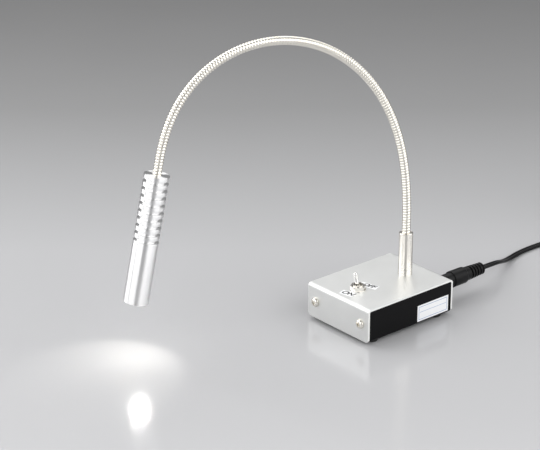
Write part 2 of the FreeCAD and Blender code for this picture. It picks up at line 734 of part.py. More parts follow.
# Emitter on its metal board at the bottom of the pocket
board_low = "lamp_length - lamp_pocket_depth"
board_high = board_low + " + board_thickness"
pocket_fill = "lamp_pocket - 2 * lamp_fit"
on_lamp(group("emitter_board", rod("emitter_board_disc", pocket_fill, board_low, board_high)))
chip = block("emitter_base", (("-emitter_side / 2", "emitter_side / 2"),
                              ("-emitter_side / 2", "emitter_side / 2"),
                              (board_high, board_high + " + emitter_thickness")))
dome = solid("Sphere", "emitter_dome", ("0", "0", board_high + " + emitter_thickness"), Radius="dome_radius")
dome_trim = rod("emitter_trim", "4 * dome_radius", board_high + " - 2 * dome_radius", board_high)
on_lamp(cut("emitter", fuse("emitter_blank", chip, dome), dome_trim))

# Spacer tube, lens and the threaded ring that holds them in
spacer_high = board_high + " + spacer_length"
spacer_blank = rod("lens_spacer_blank", pocket_fill, board_high, spacer_high)
spacer_hole = rod("lens_spacer_hole", "spacer_bore", board_high, spacer_high)
on_lamp(cut("lens_spacer", spacer_blank, spacer_hole))
lens_high = spacer_high + " + lens_thickness"
lens_blank = rod("lens_blank", pocket_fill, spacer_high, lens_high)
lens_shoulder = rod("lens_shoulder", pocket_fill, spacer_high, spacer_high + " + lens_edge")
lens_face = solid("Sphere", "lens_face", ("0", "0", lens_high + " - lens_curve"), Radius="lens_curve")
lens_crown = doc.addObject("Part::Common", "lens_crown")
lens_crown.Base = lens_blank
lens_crown.Tool = lens_face
on_lamp(fuse("lens", lens_crown, lens_shoulder))
ring_low = spacer_high + " + lens_edge"
ring_high = ring_low + " + lens_ring_thickness"
ring_blank = rod("lens_ring_blank", pocket_fill, ring_low, ring_high)
ring_hole = rod("lens_ring_hole", "lens_ring_bore", ring_low, ring_high)
on_lamp(cut("lens_ring", ring_blank, ring_hole))

# Lamp leads: two wires from the neck's bore to the board
on_lamp(group("lamp_leads", *[
    rod("lamp_lead_" + side, "lead_diameter", "neck_entry - lead_tail", board_low, x=x_lead)
    for side, x_lead in (("left", "-lead_spread"), ("right", "lead_spread"))]))

# Toggle switch body, hung under the cover, with a pocket for the lever's tail
body_high = "-cover_sheet - switch_plate"
body_low = body_high + " - switch_body_height"
half_width = ("-switch_width / 2", "switch_width / 2")
half_length = ("-switch_length / 2", "switch_length / 2")
switch_at = ("0", "switch_y", "case_top")
switch_blank = block("switch_blank", (half_width, half_length, (body_low, body_high)))
switch_pocket = block("switch_pocket", (("-lever_pocket_width / 2", "lever_pocket_width / 2"),
                                        ("-lever_pocket / 2", "lever_pocket / 2"),
                                        (body_high + " - lever_pocket_depth", body_high)))
keep(place(cut("switch_body", switch_blank, switch_pocket), switch_at))

# Switch bushing: a steel plate with a threaded neck, its throat flared for the lever
bushing_plate = block("bushing_plate", (half_width, half_length, (body_high, under_cover)))
bushing_neck = rod("bushing_neck", "bushing_diameter", body_high, "bushing_height")
bushing_flare = solid("Cone", "bushing_flare", ("0", "0", body_high), Radius1="bushing_throat / 2",
                      Radius2="bushing_mouth / 2", Height="bushing_height - (%s)" % body_high)
bushing_blank = fuse("bushing_blank", bushing_plate, bushing_neck)
keep(place(cut("switch_bushing", bushing_blank, bushing_flare), switch_at))
switch_hole = "bushing_diameter + 2 * bushing_gap"
lock_blank = rod("switch_washer_blank", "switch_washer_diameter", "0", "switch_washer_thickness")
lock_hole = rod("switch_washer_hole", switch_hole, "0", "switch_washer_thickness")
keep(place(cut("switch_washer", lock_blank, lock_hole), switch_at))
hex_low = "switch_washer_thickness"
hex_high = "switch_washer_thickness + switch_nut_height"
hex_blank = hexagon("switch_nut_blank", "switch_nut_flats", hex_low, hex_high)
hex_hole = rod("switch_nut_hole", switch_hole, hex_low, hex_high)
keep(place(cut("switch_nut", hex_blank, hex_hole), switch_at))

# Switch terminals: three flat tags under the body
terminals = []
for number, middle in ((1, "-terminal_pitch"), (2, "0"), (3, "terminal_pitch")):
    terminals.append(block("switch_terminal_%d" % number, (
        ("-terminal_width / 2", "terminal_width / 2"),
        (middle + " - terminal_thickness / 2", middle + " + terminal_thickness / 2"),
        (body_low + " - terminal_length", body_low))))
keep(place(group("switch_terminals", *terminals), switch_at))

# Switch lever: a bat on a ball, tipped towards the lit side at rest
ball = solid("Sphere", "lever_ball_blank", Radius="lever_ball / 2")
bat = solid("Cone", "lever_bat", Radius1="lever_root / 2", Radius2="lever_tip / 2",
            Height="lever_length - lever_tip / 2")
cap = solid("Sphere", "lever_cap", ("0", "0", "lever_length - lever_tip / 2"), Radius="lever_tip / 2")
tail = rod("lever_tail_blank", "lever_root", "-lever_tail", "0")
keep(place(fuse("switch_lever", ball, bat, cap, tail),
           ("0", "switch_y", "case_top + lever_pivot"), (V(1, 0, 0), lever_tilt)))

# Lamp current board on a foam pad, and what is soldered on it
board_x = ("-board_width / 2", "board_width / 2")
board_span = ("board_y - board_length / 2", "board_y + board_length / 2")
keep(block("driver_board", (board_x, board_span, ("board_top - board_sheet", "board_top"))))
keep(block("board_pad", (("pad_margin - board_width / 2", "board_width / 2 - pad_margin"),
                         ("board_y + pad_margin - board_length / 2",
                          "board_y - pad_margin + board_length / 2"),
                         ("ballast_top", "ballast_top + pad_thickness"))))
keep(group("board_components",
           rod("choke", "choke_diameter", "board_top", "board_top + choke_height",
               x="-board_width / 3", y="board_y"),
           rod("capacitor", "capacitor_diameter", "board_top", "board_top + capacitor_height",
               x="board_width / 3", y="board_y - board_length / 6"),
           block("driver_chip", (("-chip_side / 2", "chip_side / 2"),
                                 ("board_y - chip_side / 2", "board_y + chip_side / 2"),
                                 ("board_top", "board_top + chip_height")))))

# Supply socket in the rear end, drawn along its own axis from the outside of the sheet
socket_at = ("socket_x", "case_length / 2", "socket_z")
socket_turn = (V(1, 0, 0), -90)
socket_back = "socket_reach - socket_depth - socket_floor"
keep(turned("supply_socket", (
    ("socket_pin / 2", socket_back),
    ("socket_diameter / 2", socket_back),
    ("socket_diameter / 2", "-cover_sheet - socket_flange_thickness"),
    ("socket_flange / 2", "-cover_sheet - socket_flange_thickness"),
    ("socket_flange / 2", "-cover_sheet"),
    ("socket_diameter / 2", "-cover_sheet"),
    ("socket_diameter / 2", "socket_reach"),
    ("socket_bore / 2", "socket_reach"),
    ("socket_bore / 2", "socket_reach - socket_depth"),
    ("socket_pin / 2", "socket_reach - socket_depth")), socket_at, socket_turn))
socket_nut_blank = hexagon("socket_nut_blank", "socket_nut_flats", "0", "socket_nut_height")
socket_nut_hole = rod("socket_nut_hole", "socket_diameter + 2 * socket_gap", "0", "socket_nut_height")
keep(place(cut("socket_nut", socket_nut_blank, socket_nut_hole), socket_at, socket_turn))
pin = rod("socket_pin_rod", "socket_pin", socket_back + " - socket_tag", "socket_reach - plug_gap")
tag = block("socket_tag_strip", (("socket_pin", "socket_pin + terminal_thickness"),
                                 ("-terminal_width / 2", "terminal_width / 2"),
                                 (socket_back + " - socket_tag", socket_back)))
keep(place(group("socket_contacts", pin, tag), socket_at, socket_turn))

# Supply plug: a plated barrel in a soft moulding that ends in a grooved strain relief
plug_at = ("socket_x", "plug_y", "socket_z")
barrel_blank = rod("plug_barrel_blank", "plug_barrel", "-plug_barrel_reach", "plug_barrel_root")
barrel_hole = rod("plug_barrel_hole", "plug_barrel_bore", "-plug_barrel_reach", "plug_barrel_root")
keep(place(cut("plug_barrel_tube", barrel_blank, barrel_hole), plug_at, socket_turn))
relief = []
groove_count = int(relief_grooves)
relief_low = "plug_grip_length + plug_neck_length"
relief_taper = "(relief_end_diameter - plug_neck_diameter) / relief_grooves"
relief_step = " + relief_length / relief_grooves * "
for groove in range(groove_count):
    rim = "(plug_neck_diameter + %s * %d) / 2" % (relief_taper, groove)
    low = relief_low + relief_step + "%d" % groove
    mid = relief_low + relief_step + "(%d + (1 - relief_groove_share) / 2)" % groove
    high = relief_low + relief_step + "(%d + (1 + relief_groove_share) / 2)" % groove
    relief.append((rim, low))
    relief.append((rim, mid))
    relief.append(("relief_groove_diameter / 2", mid))
    relief.append(("relief_groove_diameter / 2", high))
    relief.append((rim, high))
keep(turned("plug_moulding", (
    ("0", "plug_barrel_root"),
    ("plug_barrel / 2", "plug_barrel_root"),
    ("plug_barrel / 2", "0"),
    ("plug_front / 2", "0"),
    ("plug_front / 2", "plug_front_length"),
    ("plug_diameter / 2", "plug_front_length"),
    ("plug_diameter / 2", "plug_grip_length"),
    *relief,
    ("relief_end_diameter / 2", "plug_length"),
    ("0", "plug_length")), plug_at, socket_turn))

# Hook-up wires from the socket to the switch, the board and the neck
wire_z = socket_z
tag_y = case_length / 2 + worth(socket_back) - socket_tag
terminal_low = case_top + worth(body_low) - terminal_length
terminal_mid = terminal_low + terminal_length / 2
last_tag = switch_y + terminal_pitch + terminal_thickness / 2
neck_wire_top = case_top + stem_height - neck_grip + lead_tail
tag_x = socket_x + socket_pin + terminal_thickness / 2
wire_routes = [
    [V(socket_x, tag_y, wire_z), V(socket_x, tag_y - 3, wire_z),
     V(socket_x - 1, tag_y - 7, wire_z + 2), V(feed_pad_x, board_y + 1, board_top + 2.5),
     V(feed_pad_x, board_y - 1.5, board_top + 1.5), V(feed_pad_x, board_y - 1.5, board_top)],
    [V(tag_x, tag_y, wire_z), V(tag_x, tag_y - 3, wire_z),
     V(tag_x - 0.4, board_y + 8, board_top + 6), V(4, board_y - 4, board_top + 6),
     V(0, last_tag + 3.5, terminal_mid), V(0, last_tag, terminal_mid)],
    [V(terminal_width / 2, switch_y, terminal_mid), V(terminal_width / 2 + 2.5, switch_y, terminal_mid),
     V(terminal_width / 2 + 4, switch_y + 5, terminal_mid + 0.5),
     V(switch_pad_x + 0.2, board_y - 7, board_top + 2.5),
     V(switch_pad_x, board_y - 4.5, board_top + 1.5), V(switch_pad_x, board_y - 4.5, board_top)]]
for side in (-1, 1):
    wire_x = stem_x + side * lead_spread
    pad_x = side * lamp_pad_spread
    wire_routes.append([
        V(wire_x, stem_y, neck_wire_top), V(wire_x, stem_y, board_top + 3.5),
        V((wire_x + pad_x) / 2, stem_y - 4, board_top + 2), V(pad_x, board_y + 6.4, board_top + 1.5),
        V(pad_x, board_y + 6.4, board_top)])
wires = [tube(route(points)[0], hookup_diameter, "hook-up wire %d" % number)
         for number, points in enumerate(wire_routes, 1)]
keep(shaped("hookup_wires", Part.makeCompound(wires)))

# Supply lead from the plug over the surface to the coil
cord_radius = cord_diameter / 2
cord_z = cord_radius + cord_lift
cord_start = V(socket_x, plug_y + plug_length, socket_z)
coil_side = coil_x - coil_mean_radius - (coil_turns_per_layer - 1) / 2 * coil_pitch - coil_pitch / 4
coil_low = tie_thickness + tie_gap + cord_radius
cord_route = [
    cord_start,
    cord_start + V(0, 8, 0),
    cord_start + V(-3, 18, -2.2),
    V(0.5, 100, 5.6),
    V(-5, 111, cord_z + 0.8),
    V(-8.8, 123, cord_z),
    V(-9.6, 136, cord_z),
    V(-8.9, 150, cord_z),
    V(coil_side, coil_y - 13, coil_low),
    V(coil_side, coil_y - cord_diameter, coil_low)]
cord_wire, cord_radii = route(cord_route)
print("supply cord radii: " + " ".join("%.1f" % radius for radius in cord_radii))
keep(shaped("supply_cord", tube(cord_wire, cord_diameter, "supply cord")))

# Coil: the rest of the lead in two layers, spiralling in on the lower and out on the upper
turns = coil_turns_per_layer
outer_radius = coil_x - coil_side
coil_centre = V(coil_x, coil_y, 0)
inward_angle = 2 * math.pi * (turns - 0.25)
climb_angle = math.pi


def coil_point(angle):
    """Middle of the cord at an angle along the coil, which starts at its left side."""
    climb = (angle - inward_angle) / climb_angle
    height = 0.0
    radius = outer_radius - coil_pitch * angle / (2 * math.pi)
    if climb > 0:
        share = min(climb, 1)
        height = share * share * (3 - 2 * share)
        inner = outer_radius - coil_pitch * inward_angle / (2 * math.pi)
        beyond = max(angle - inward_angle - climb_angle, 0)
        tuck = coil_tuck * math.sin(math.pi * share) ** 2
        radius = inner - tuck + coil_pitch * beyond / (2 * math.pi)
    return coil_centre + V(-radius * math.cos(angle), radius * math.sin(angle),
                           coil_low + height * coil_pitch)


def coil_heading(angle):
    """Direction of the cord at an angle along the coil."""
    step = 0.0005
    return (coil_point(angle + step) - coil_point(angle - step)).normalize()


def biarc(one, heading_one, two, heading_two):
    """Two arcs that leave one point and meet another in the given directions."""
    across = two - one
    both = heading_one + heading_two
    spread = 2 * (1 - heading_one.dot(heading_two))
    reach = (-across.dot(both) + math.sqrt(across.dot(both) ** 2 + spread * across.dot(across))) / spread
    first = one + heading_one * reach
    second = two - heading_two * reach
    middle = (first + second) * 0.5
    return [arc_from(one, heading_one, middle), arc_from(middle, second - first, two)]


def arc_from(one, heading, two):
    """The arc from one point to another that starts in a direction."""
    curve = Part.Arc(one, arc_middle(one, V(heading).normalize(), two), two)
    return curve.toShape()


def arc_middle(one, heading, two):
    """Halfway point of that arc."""
    chord = two - one
    half = heading.getAngle(chord)
    inside = (heading - chord * (heading.dot(chord) / chord.dot(chord))).normalize()
    return (one + two) * 0.5 + inside * (chord.Length / 2 * math.tan(half / 2))


quarter = math.pi / 2
quarters = int(round((2 * inward_angle + climb_angle) / quarter))
coil_edges = [Part.LineSegment(coil_point(0) - V(0, cord_diameter, 0), coil_point(0)).toShape()]
for step in range(quarters):
    start_angle = step * quarter
    heading_one = V(0, 1, 0) if step == 0 else coil_heading(start_angle)
    coil_edges += biarc(coil_point(start_angle), heading_one,
                        coil_point(start_angle + quarter), coil_heading(start_angle + quarter))
coil_end = coil_point(quarters * quarter)
coil_way = coil_heading(quarters * quarter)
coil_edges.append(Part.LineSegment(coil_end, coil_end + coil_way * cord_diameter).toShape())
coil_wire = Part.Wire(coil_edges)
per_turn = 72
samples = [coil_point(step * 2 * math.pi / per_turn) for step in range(quarters * per_turn // 4 + 1)]
least = min((one - two).Length for number, one in enumerate(samples)
            for two in samples[number + per_turn // 2:])
print("coil: %.1f turns, least gap to itself %.2f" % (quarters / 4, least - cord_diameter))
keep(shaped("cord_coil", tube(coil_wire, cord_diameter, "cord coil")))

# Tie: a flat band round the turns of the coil
turn_low = coil_mean_radius - (turns / 2) * coil_pitch - cord_radius - tie_gap
turn_high = outer_radius + cord_radius + tie_gap
tie_high = coil_low + coil_pitch + cord_radius + tie_gap
inside = Part.makeBox(turn_high - turn_low, tie_width, tie_high - tie_thickness,
                      V(turn_low, -tie_width / 2, tie_thickness))
outside = Part.makeBox(turn_high - turn_low + 2 * tie_thickness, tie_width, tie_high + tie_thickness,
                       V(turn_low - tie_thickness, -tie_width / 2, 0))
tie_turn = FreeCAD.Rotation(V(0, 0, 1), tie_angle)
keep(shaped("cord_tie", outside.cut(inside), FreeCAD.Placement(coil_centre, tie_turn)))

# Lead's tail from the top of the coil into the adapter
adapter_front = adapter_y - adapter_length / 2
tail_start = coil_end + coil_way * cord_diameter
tail_end = V(adapter_x, adapter_front - grommet_length, adapter_cord_z)
tail_route = [
    tail_start,
    tail_start + coil_way * tail_lead,
    tail_end - V(0, tail_lead, 0),
    tail_end]
tail_wire, tail_radii = route(tail_route)
print("cord tail radii: " + " ".join("%.1f" % radius for radius in tail_radii))
keep(shaped("cord_tail", tube(tail_wire, cord_diameter, "cord tail")))

# Adapter: two half shells, a grommet, two flat blades and the board inside
adapter_mid = "adapter_height / 2"
adapter_back = "adapter_y + adapter_length / 2"
adapter_across = ("adapter_x - adapter_width / 2", "adapter_x + adapter_width / 2")
adapter_along = ("adapter_y - adapter_length / 2", adapter_back)
inside_across = (adapter_across[0] + " + adapter_wall", adapter_across[1] + " - adapter_wall")
inside_along = (adapter_along[0] + " + adapter_wall", adapter_along[1] + " - adapter_wall")


def adapter_half(name, low, high, floor_low, floor_high):
    """One half of the adapter's shell, open towards the other half."""
    shell = block(name + "_blank", (adapter_across, adapter_along, (low, high)))
    hollow = block(name + "_hollow", (inside_across, inside_along, (floor_low, floor_high)))
    rounded = doc.addObject("Part::Fillet", name + "_rounded")
    rounded.Base = shell
    doc.recompute()
    upright = [number for number, edge in enumerate(shell.Shape.Edges, 1)
               if near(abs(edge.tangentAt(edge.FirstParameter).z), 1)]
    rounded.Edges = [(number, adapter_corner, adapter_corner) for number in upright]
    return cut(name, rounded, hollow)


keep(adapter_half("adapter_base", "0", adapter_mid, "adapter_wall", adapter_mid))
keep(adapter_half("adapter_lid", adapter_mid, "adapter_height", adapter_mid, "adapter_height - adapter_wall"))
grommet_at = ("adapter_x", "adapter_y - adapter_length / 2", "adapter_cord_z")
keep(place(solid("Cone", "cord_grommet", Radius1="grommet_diameter / 2",
                 Radius2="cord_diameter / 2 + grommet_lip", Height="grommet_length"),
           grommet_at, (V(1, 0, 0), 90)))
blades = []
for side, x_blade in (("left", "adapter_x - blade_spread / 2"), ("right", "adapter_x + blade_spread / 2")):
    blades.append(block("blade_" + side, (
        (x_blade + " - blade_thickness / 2", x_blade + " + blade_thickness / 2"),
        (adapter_back, adapter_back + " + blade_length"),
        (adapter_mid + " - blade_width / 2", adapter_mid + " + blade_width / 2"))))
keep(group("adapter_blades", *blades))
card_top = "adapter_wall + adapter_board_sheet"
card = block("adapter_card", (inside_across, inside_along, ("adapter_wall", card_top)))
winding = block("adapter_transformer", (
    ("adapter_x - transformer_side / 2", "adapter_x + transformer_side / 2"),
    ("adapter_y - transformer_side / 2", "adapter_y + transformer_side / 2"),
    (card_top, card_top + " + transformer_height")))
keep(fuse("adapter_board", card, winding))

# Label plate on the right side, bare
keep(block("label_plate", (("case_width / 2", "case_width / 2 + label_thickness"),
                           ("label_y", "label_y + label_length"),
                           ("label_z", "label_z + label_height"))))

doc.recompute()
for thing in doc.Objects:
    if "Invalid" in thing.State or "Error" in thing.State:
        raise ValueError("%s did not build: %s" % (thing.Name, thing.State))
os.makedirs("parts", exist_ok=True)
for piece in made:
    shape = piece.Shape
    if shape.isNull() or not shape.isValid() or not shape.Solids:
        raise ValueError(piece.Label + " is not a valid solid")
    shape.exportStep("parts/%s.step" % piece.Label)
print("%d sub-parts, %d solids" % (len(made), sum(len(piece.Shape.Solids) for piece in made)))
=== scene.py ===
import bmesh
import bpy
import json
import math
from mathutils import Matrix, Vector


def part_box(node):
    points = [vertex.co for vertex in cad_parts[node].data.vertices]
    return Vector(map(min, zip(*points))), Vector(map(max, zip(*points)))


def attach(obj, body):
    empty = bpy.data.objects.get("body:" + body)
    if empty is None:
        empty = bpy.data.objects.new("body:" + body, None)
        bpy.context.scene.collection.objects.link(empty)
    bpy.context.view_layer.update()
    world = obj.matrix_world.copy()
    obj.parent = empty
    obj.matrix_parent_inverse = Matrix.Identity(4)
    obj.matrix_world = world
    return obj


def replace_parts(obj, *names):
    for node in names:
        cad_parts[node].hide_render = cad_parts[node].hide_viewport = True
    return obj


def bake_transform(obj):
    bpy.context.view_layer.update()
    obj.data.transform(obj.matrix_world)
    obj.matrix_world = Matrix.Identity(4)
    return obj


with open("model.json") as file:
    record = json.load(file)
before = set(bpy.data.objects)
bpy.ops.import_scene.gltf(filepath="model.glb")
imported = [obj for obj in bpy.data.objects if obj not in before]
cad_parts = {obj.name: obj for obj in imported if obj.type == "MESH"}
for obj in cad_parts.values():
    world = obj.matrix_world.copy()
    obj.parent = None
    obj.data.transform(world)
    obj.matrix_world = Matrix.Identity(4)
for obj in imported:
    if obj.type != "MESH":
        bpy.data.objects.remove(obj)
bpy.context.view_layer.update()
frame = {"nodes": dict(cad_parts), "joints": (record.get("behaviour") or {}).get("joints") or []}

# Camera: a long lens about a metre away, to the front right of the case and a little above it,
# looking down by about 23 degrees. The whole picture is filled by the table top.
camera_turn = math.radians(49.988)
camera_tilt = math.radians(22.842)
camera_roll = math.radians(0.159)
camera_place = Vector((0.7236, -0.6892, 0.4765))
level = Vector((math.cos(camera_turn), math.sin(camera_turn), 0))
backward = Vector((math.sin(camera_turn) * math.cos(camera_tilt),
                   -math.cos(camera_turn) * math.cos(camera_tilt), math.sin(camera_tilt)))
above = backward.cross(level)
camera_right = math.cos(camera_roll) * level - math.sin(camera_roll) * above
camera_up = math.sin(camera_roll) * level + math.cos(camera_roll) * above
lens_data = bpy.data.cameras.new("camera")
lens_data.sensor_width = 36
lens_data.lens = 129.07
camera = bpy.data.objects.new("camera", lens_data)
camera.matrix_world = (Matrix.Translation(camera_place)
                       @ Matrix((camera_right, camera_up, backward)).transposed().to_4x4())
bpy.context.scene.collection.objects.link(camera)
bpy.context.scene.camera = camera
bpy.context.scene.view_settings.view_transform = "Standard"


# Table: one large smooth board with a semi-gloss lacquer that mirrors the lamp softly. Its colour
# carries a painted falloff of light: pale near the front lights, darker grey toward the back of the
# room.
class Shade:
    """A value in a material, which ordinary arithmetic adds nodes to."""

    def __init__(self, tree, socket):
        self.tree = tree
        self.socket = socket

    def sum(self, operation, *values):
        step = self.tree.nodes.new("ShaderNodeMath")
        step.operation = operation
        for place, value in enumerate(values):
            if isinstance(value, Shade):
                self.tree.links.new(value.socket, step.inputs[place])
            else:
                step.inputs[place].default_value = value
        return Shade(self.tree, step.outputs[0])

    def __add__(self, other):
        return self.sum("ADD", self, other)

    def __radd__(self, other):
        return self.sum("ADD", other, self)

    def __sub__(self, other):
        return self.sum("SUBTRACT", self, other)

    def __rsub__(self, other):
        return self.sum("SUBTRACT", other, self)

    def __mul__(self, other):
        return self.sum("MULTIPLY", self, other)

    def __rmul__(self, other):
        return self.sum("MULTIPLY", other, self)

    def __abs__(self):
        return self.sum("ABSOLUTE", self)


class Finish:
    """A surface finish, mixed from nodes round one shader."""

    def __init__(self, name, **constants):
        self.material = bpy.data.materials.new(name)
        self.material.use_nodes = True
        self.tree = self.material.node_tree
        self.shader = self.tree.nodes["Principled BSDF"]
        for socket, value in constants.items():
            self.shader.inputs[socket.replace("_", " ")].default_value = value
        self.place = self.node("ShaderNodeTexCoord", output="Object")

    def node(self, kind, settings=(), inputs=(), output=0):
        made = self.tree.nodes.new(kind)
        for setting, value in dict(settings).items():
            if setting == "stops":
                ramp = made.color_ramp.elements
                while len(ramp) < len(value):
                    ramp.new(0.5)
                for stop, (at, colour) in zip(ramp, value):
                    stop.position = at
                    stop.color = (*colour, 1)
            else:
                setattr(made, setting, value)
        for socket, value in dict(inputs).items():
            if isinstance(value, Shade):
                self.tree.links.new(value.socket, made.inputs[socket])
            else:
                made.inputs[socket].default_value = value
        return Shade(self.tree, made.outputs[output])

    def drive(self, socket, value):
        self.tree.links.new(value.socket, self.shader.inputs[socket])

    def along(self, direction):
        return self.node("ShaderNodeVectorMath", {"operation": "DOT_PRODUCT"},
                         {0: self.place, 1: direction}, "Value")

    def grain(self, size, detail=2.0, stretch=(1, 1, 1)):
        scaled = self.node("ShaderNodeVectorMath", {"operation": "MULTIPLY"},
                           {0: self.place, 1: [share / size for share in stretch]})
        return self.node("ShaderNodeTexNoise", {}, {"Vector": scaled, "Scale": 1.0, "Detail": detail})

    def step(self, value, low, high):
        return self.node("ShaderNodeMapRange", {"interpolation_type": "SMOOTHSTEP"},
                         {"Value": value, "From Min": low, "From Max": high})

    def mixed(self, share, one, two):
        ends = [value if isinstance(value, Shade) else (*value, 1) for value in (one, two)]
        return self.node("ShaderNodeMix", {"data_type": "RGBA"}, {0: share, 6: ends[0], 7: ends[1]}, 2)

    def relief(self, height, depth):
        self.drive("Normal", self.node("ShaderNodeBump", {}, {
            "Strength": 1.0, "Distance": depth, "Height": height}))


def worn(name, colour, dull, rough, size, depth, stretch=(1, 1, 1), **constants):
    """A finish with cloudy changes of tone and gloss over a fine grain that can be felt."""
    finish = Finish(name, **constants)
    cloud = finish.grain(size * 14, 3.0)
    fine = finish.grain(size, 2.0, stretch)
    finish.drive("Base Color", finish.mixed(cloud * 0.7 + fine * 0.3, dull, colour))
    finish.drive("Roughness", rough + (cloud - 0.5) * 0.14 + (fine - 0.5) * 0.08)
    finish.relief(fine, depth)
    return finish


def made_piece(name, points, faces, finish, sharp=35):
    """A mesh piece with outward faces, smooth but for its sharp edges."""
    mesh = bpy.data.meshes.new(name)
    mesh.from_pydata(points, [], faces)
    work = bmesh.new()
    work.from_mesh(mesh)
    bmesh.ops.recalc_face_normals(work, faces=work.faces)
    work.to_mesh(mesh)
    work.free()
    mesh.shade_smooth()
    mesh.set_sharp_from_angle(angle=math.radians(sharp))
    mesh.materials.append(finish.material)
    piece = bpy.data.objects.new(name, mesh)
    bpy.context.scene.collection.objects.link(piece)
    return piece


table_half = 3.0
table_steps = 24
table_near, table_far = -0.35, 0.85
table_finish = Finish("table_lacquer", IOR=1.45, Specular_IOR_Level=0.42)
depth_way = (-backward.x, -backward.y, 0)
table_depth = table_finish.along(depth_way)
# Painted light falloff: the table's base colour runs from pale at the front to dark grey at the back.
table_painted_falloff = table_finish.node("ShaderNodeValToRGB", {"stops": [
    (0.0, (0.51, 0.51, 0.52)), (0.3, (0.49, 0.49, 0.50)),
    (0.6, (0.285, 0.285, 0.287)), (1.0, (0.15, 0.15, 0.15))]},
    {"Fac": table_finish.step(table_depth, table_near, table_far)})
table_cloud = table_finish.grain(0.12, 3.0)
table_finish.drive("Base Color", table_finish.mixed(table_cloud * 0.06, table_painted_falloff, (0.5, 0.5, 0.5)))
table_finish.drive("Roughness", 0.15 + (table_cloud - 0.5) * 0.04)
table_finish.relief(table_finish.grain(0.004), 0.000004)
table_points = [(table_half * (2 * x / table_steps - 1), table_half * (2 * y / table_steps - 1), 0.0)
                for y in range(table_steps + 1) for x in range(table_steps + 1)]
table_faces = [(row + x, row + x + 1, row + x + table_steps + 2, row + x + table_steps + 1)
               for row in range(0, table_steps * (table_steps + 1), table_steps + 1)
               for x in range(table_steps)]
table = made_piece("table", table_points, table_faces, table_finish)

# Studio light: tall soft boxes stand round the table from the left rear to the right, down almost
# to its level, with a narrow dark gap for the camera. One more hangs high behind the object, and
# an even grey room fills in the rest.
front_way = Vector((backward.x, backward.y, 0)).normalized()
lit_place = Vector((0, -0.03, 0.06))


def soft_box(name, turn, distance, height, width, tall, power):
    """A soft box at an angle to the right of the camera, turned to face the object."""
    data = bpy.data.lights.new(name, "AREA")
    data.shape = "RECTANGLE"
    data.size = width
    data.size_y = tall
    data.energy = power
    lamp = bpy.data.objects.new(name, data)
    angle = math.radians(turn)
    lamp.location = (front_way * math.cos(angle) + level * math.sin(angle)) * distance
    lamp.location.z = height
    lamp.rotation_mode = "QUATERNION"
    lamp.rotation_quaternion = (lit_place - lamp.location).to_track_quat("-Z", "Y")
    bpy.context.scene.collection.objects.link(lamp)


soft_box("soft_box_left_front", -45, 1.0, 0.57, 1.05, 1.08, 6.1)
soft_box("soft_box_left_side", -100, 0.95, 0.57, 0.85, 1.08, 7.0)
soft_box("soft_box_right_front", 45, 1.0, 0.57, 1.05, 1.08, 6.6)
soft_box("soft_box_right_side", 90, 1.0, 0.57, 0.75, 1.08, 4.2)
soft_box("soft_box_over", 180, 0.8, 1.18, 1.65, 1.15, 9.5)
room = bpy.data.worlds.new("room")
room.use_nodes = True
room.node_tree.nodes["Background"].inputs["Color"].default_value = (0.985, 0.99, 1.0, 1)
room.node_tree.nodes["Background"].inputs["Strength"].default_value = 0.26
bpy.context.scene.world = room


# Bottom tray: folded steel sheet with upright sides, stove enamelled black with a slight orange
# peel. The cover slides over it and is screwed to its end flanges.
def finished(finish, *nodes):
    """Give carried-over pieces their finish."""
    for node in nodes:
        mesh = frame["nodes"][node].data
        mesh.materials.clear()
        mesh.materials.append(finish.material)


tray_paint = worn("tray_enamel", (0.005, 0.005, 0.0055), (0.0035, 0.0035, 0.004), 0.5,
                  0.0006, 0.00003, Specular_IOR_Level=0.1)
finished(tray_paint, "bottom_tray")

# Rubber feet: four turned-edge bumpers of black rubber, pressed on under the tray's corners.
foot_rubber = worn("foot_rubber", (0.022, 0.021, 0.020), (0.014, 0.014, 0.014), 0.72, 0.0004, 0.00004)
finished(foot_rubber, "rubber_feet")

# Ballast: a sawn steel plate on the tray's floor that keeps the lamp from tipping the case, held
# by two screws from below.
ballast_steel = worn("ballast_steel", (0.34, 0.33, 0.32), (0.20, 0.19, 0.185), 0.5, 0.0007, 0.00003,
                     (0.1, 1, 1), Metallic=1.0)
finished(ballast_steel, "ballast_plate")
floor_screw_zinc = worn("floor_screw_zinc", (0.62, 0.62, 0.60), (0.42, 0.42, 0.40), 0.34,
                        0.0003, 0.00001, Metallic=1.0)
finished(floor_screw_zinc, "ballast_screws")

# Driver board: a green glass-fibre card with its choke, chip and capacitors, stuck to the ballast
# with a foam pad, and thin insulated wires to the switch, the socket and the neck.
board_green = worn("board_green", (0.02, 0.16, 0.07), (0.012, 0.10, 0.045), 0.35, 0.0005, 0.00001,
                   Coat_Weight=0.4)
finished(board_green, "driver_board")
pad_foam = worn("pad_foam", (0.55, 0.54, 0.50), (0.38, 0.37, 0.34), 0.85, 0.0006, 0.00015)
finished(pad_foam, "board_pad")
parts_dark = worn("parts_dark", (0.05, 0.05, 0.055), (0.03, 0.03, 0.033), 0.45, 0.0004, 0.00002)
finished(parts_dark, "board_components")
wire_red = worn("wire_red", (0.42, 0.03, 0.025), (0.28, 0.02, 0.018), 0.38, 0.0005, 0.00001)
finished(wire_red, "hookup_wires")
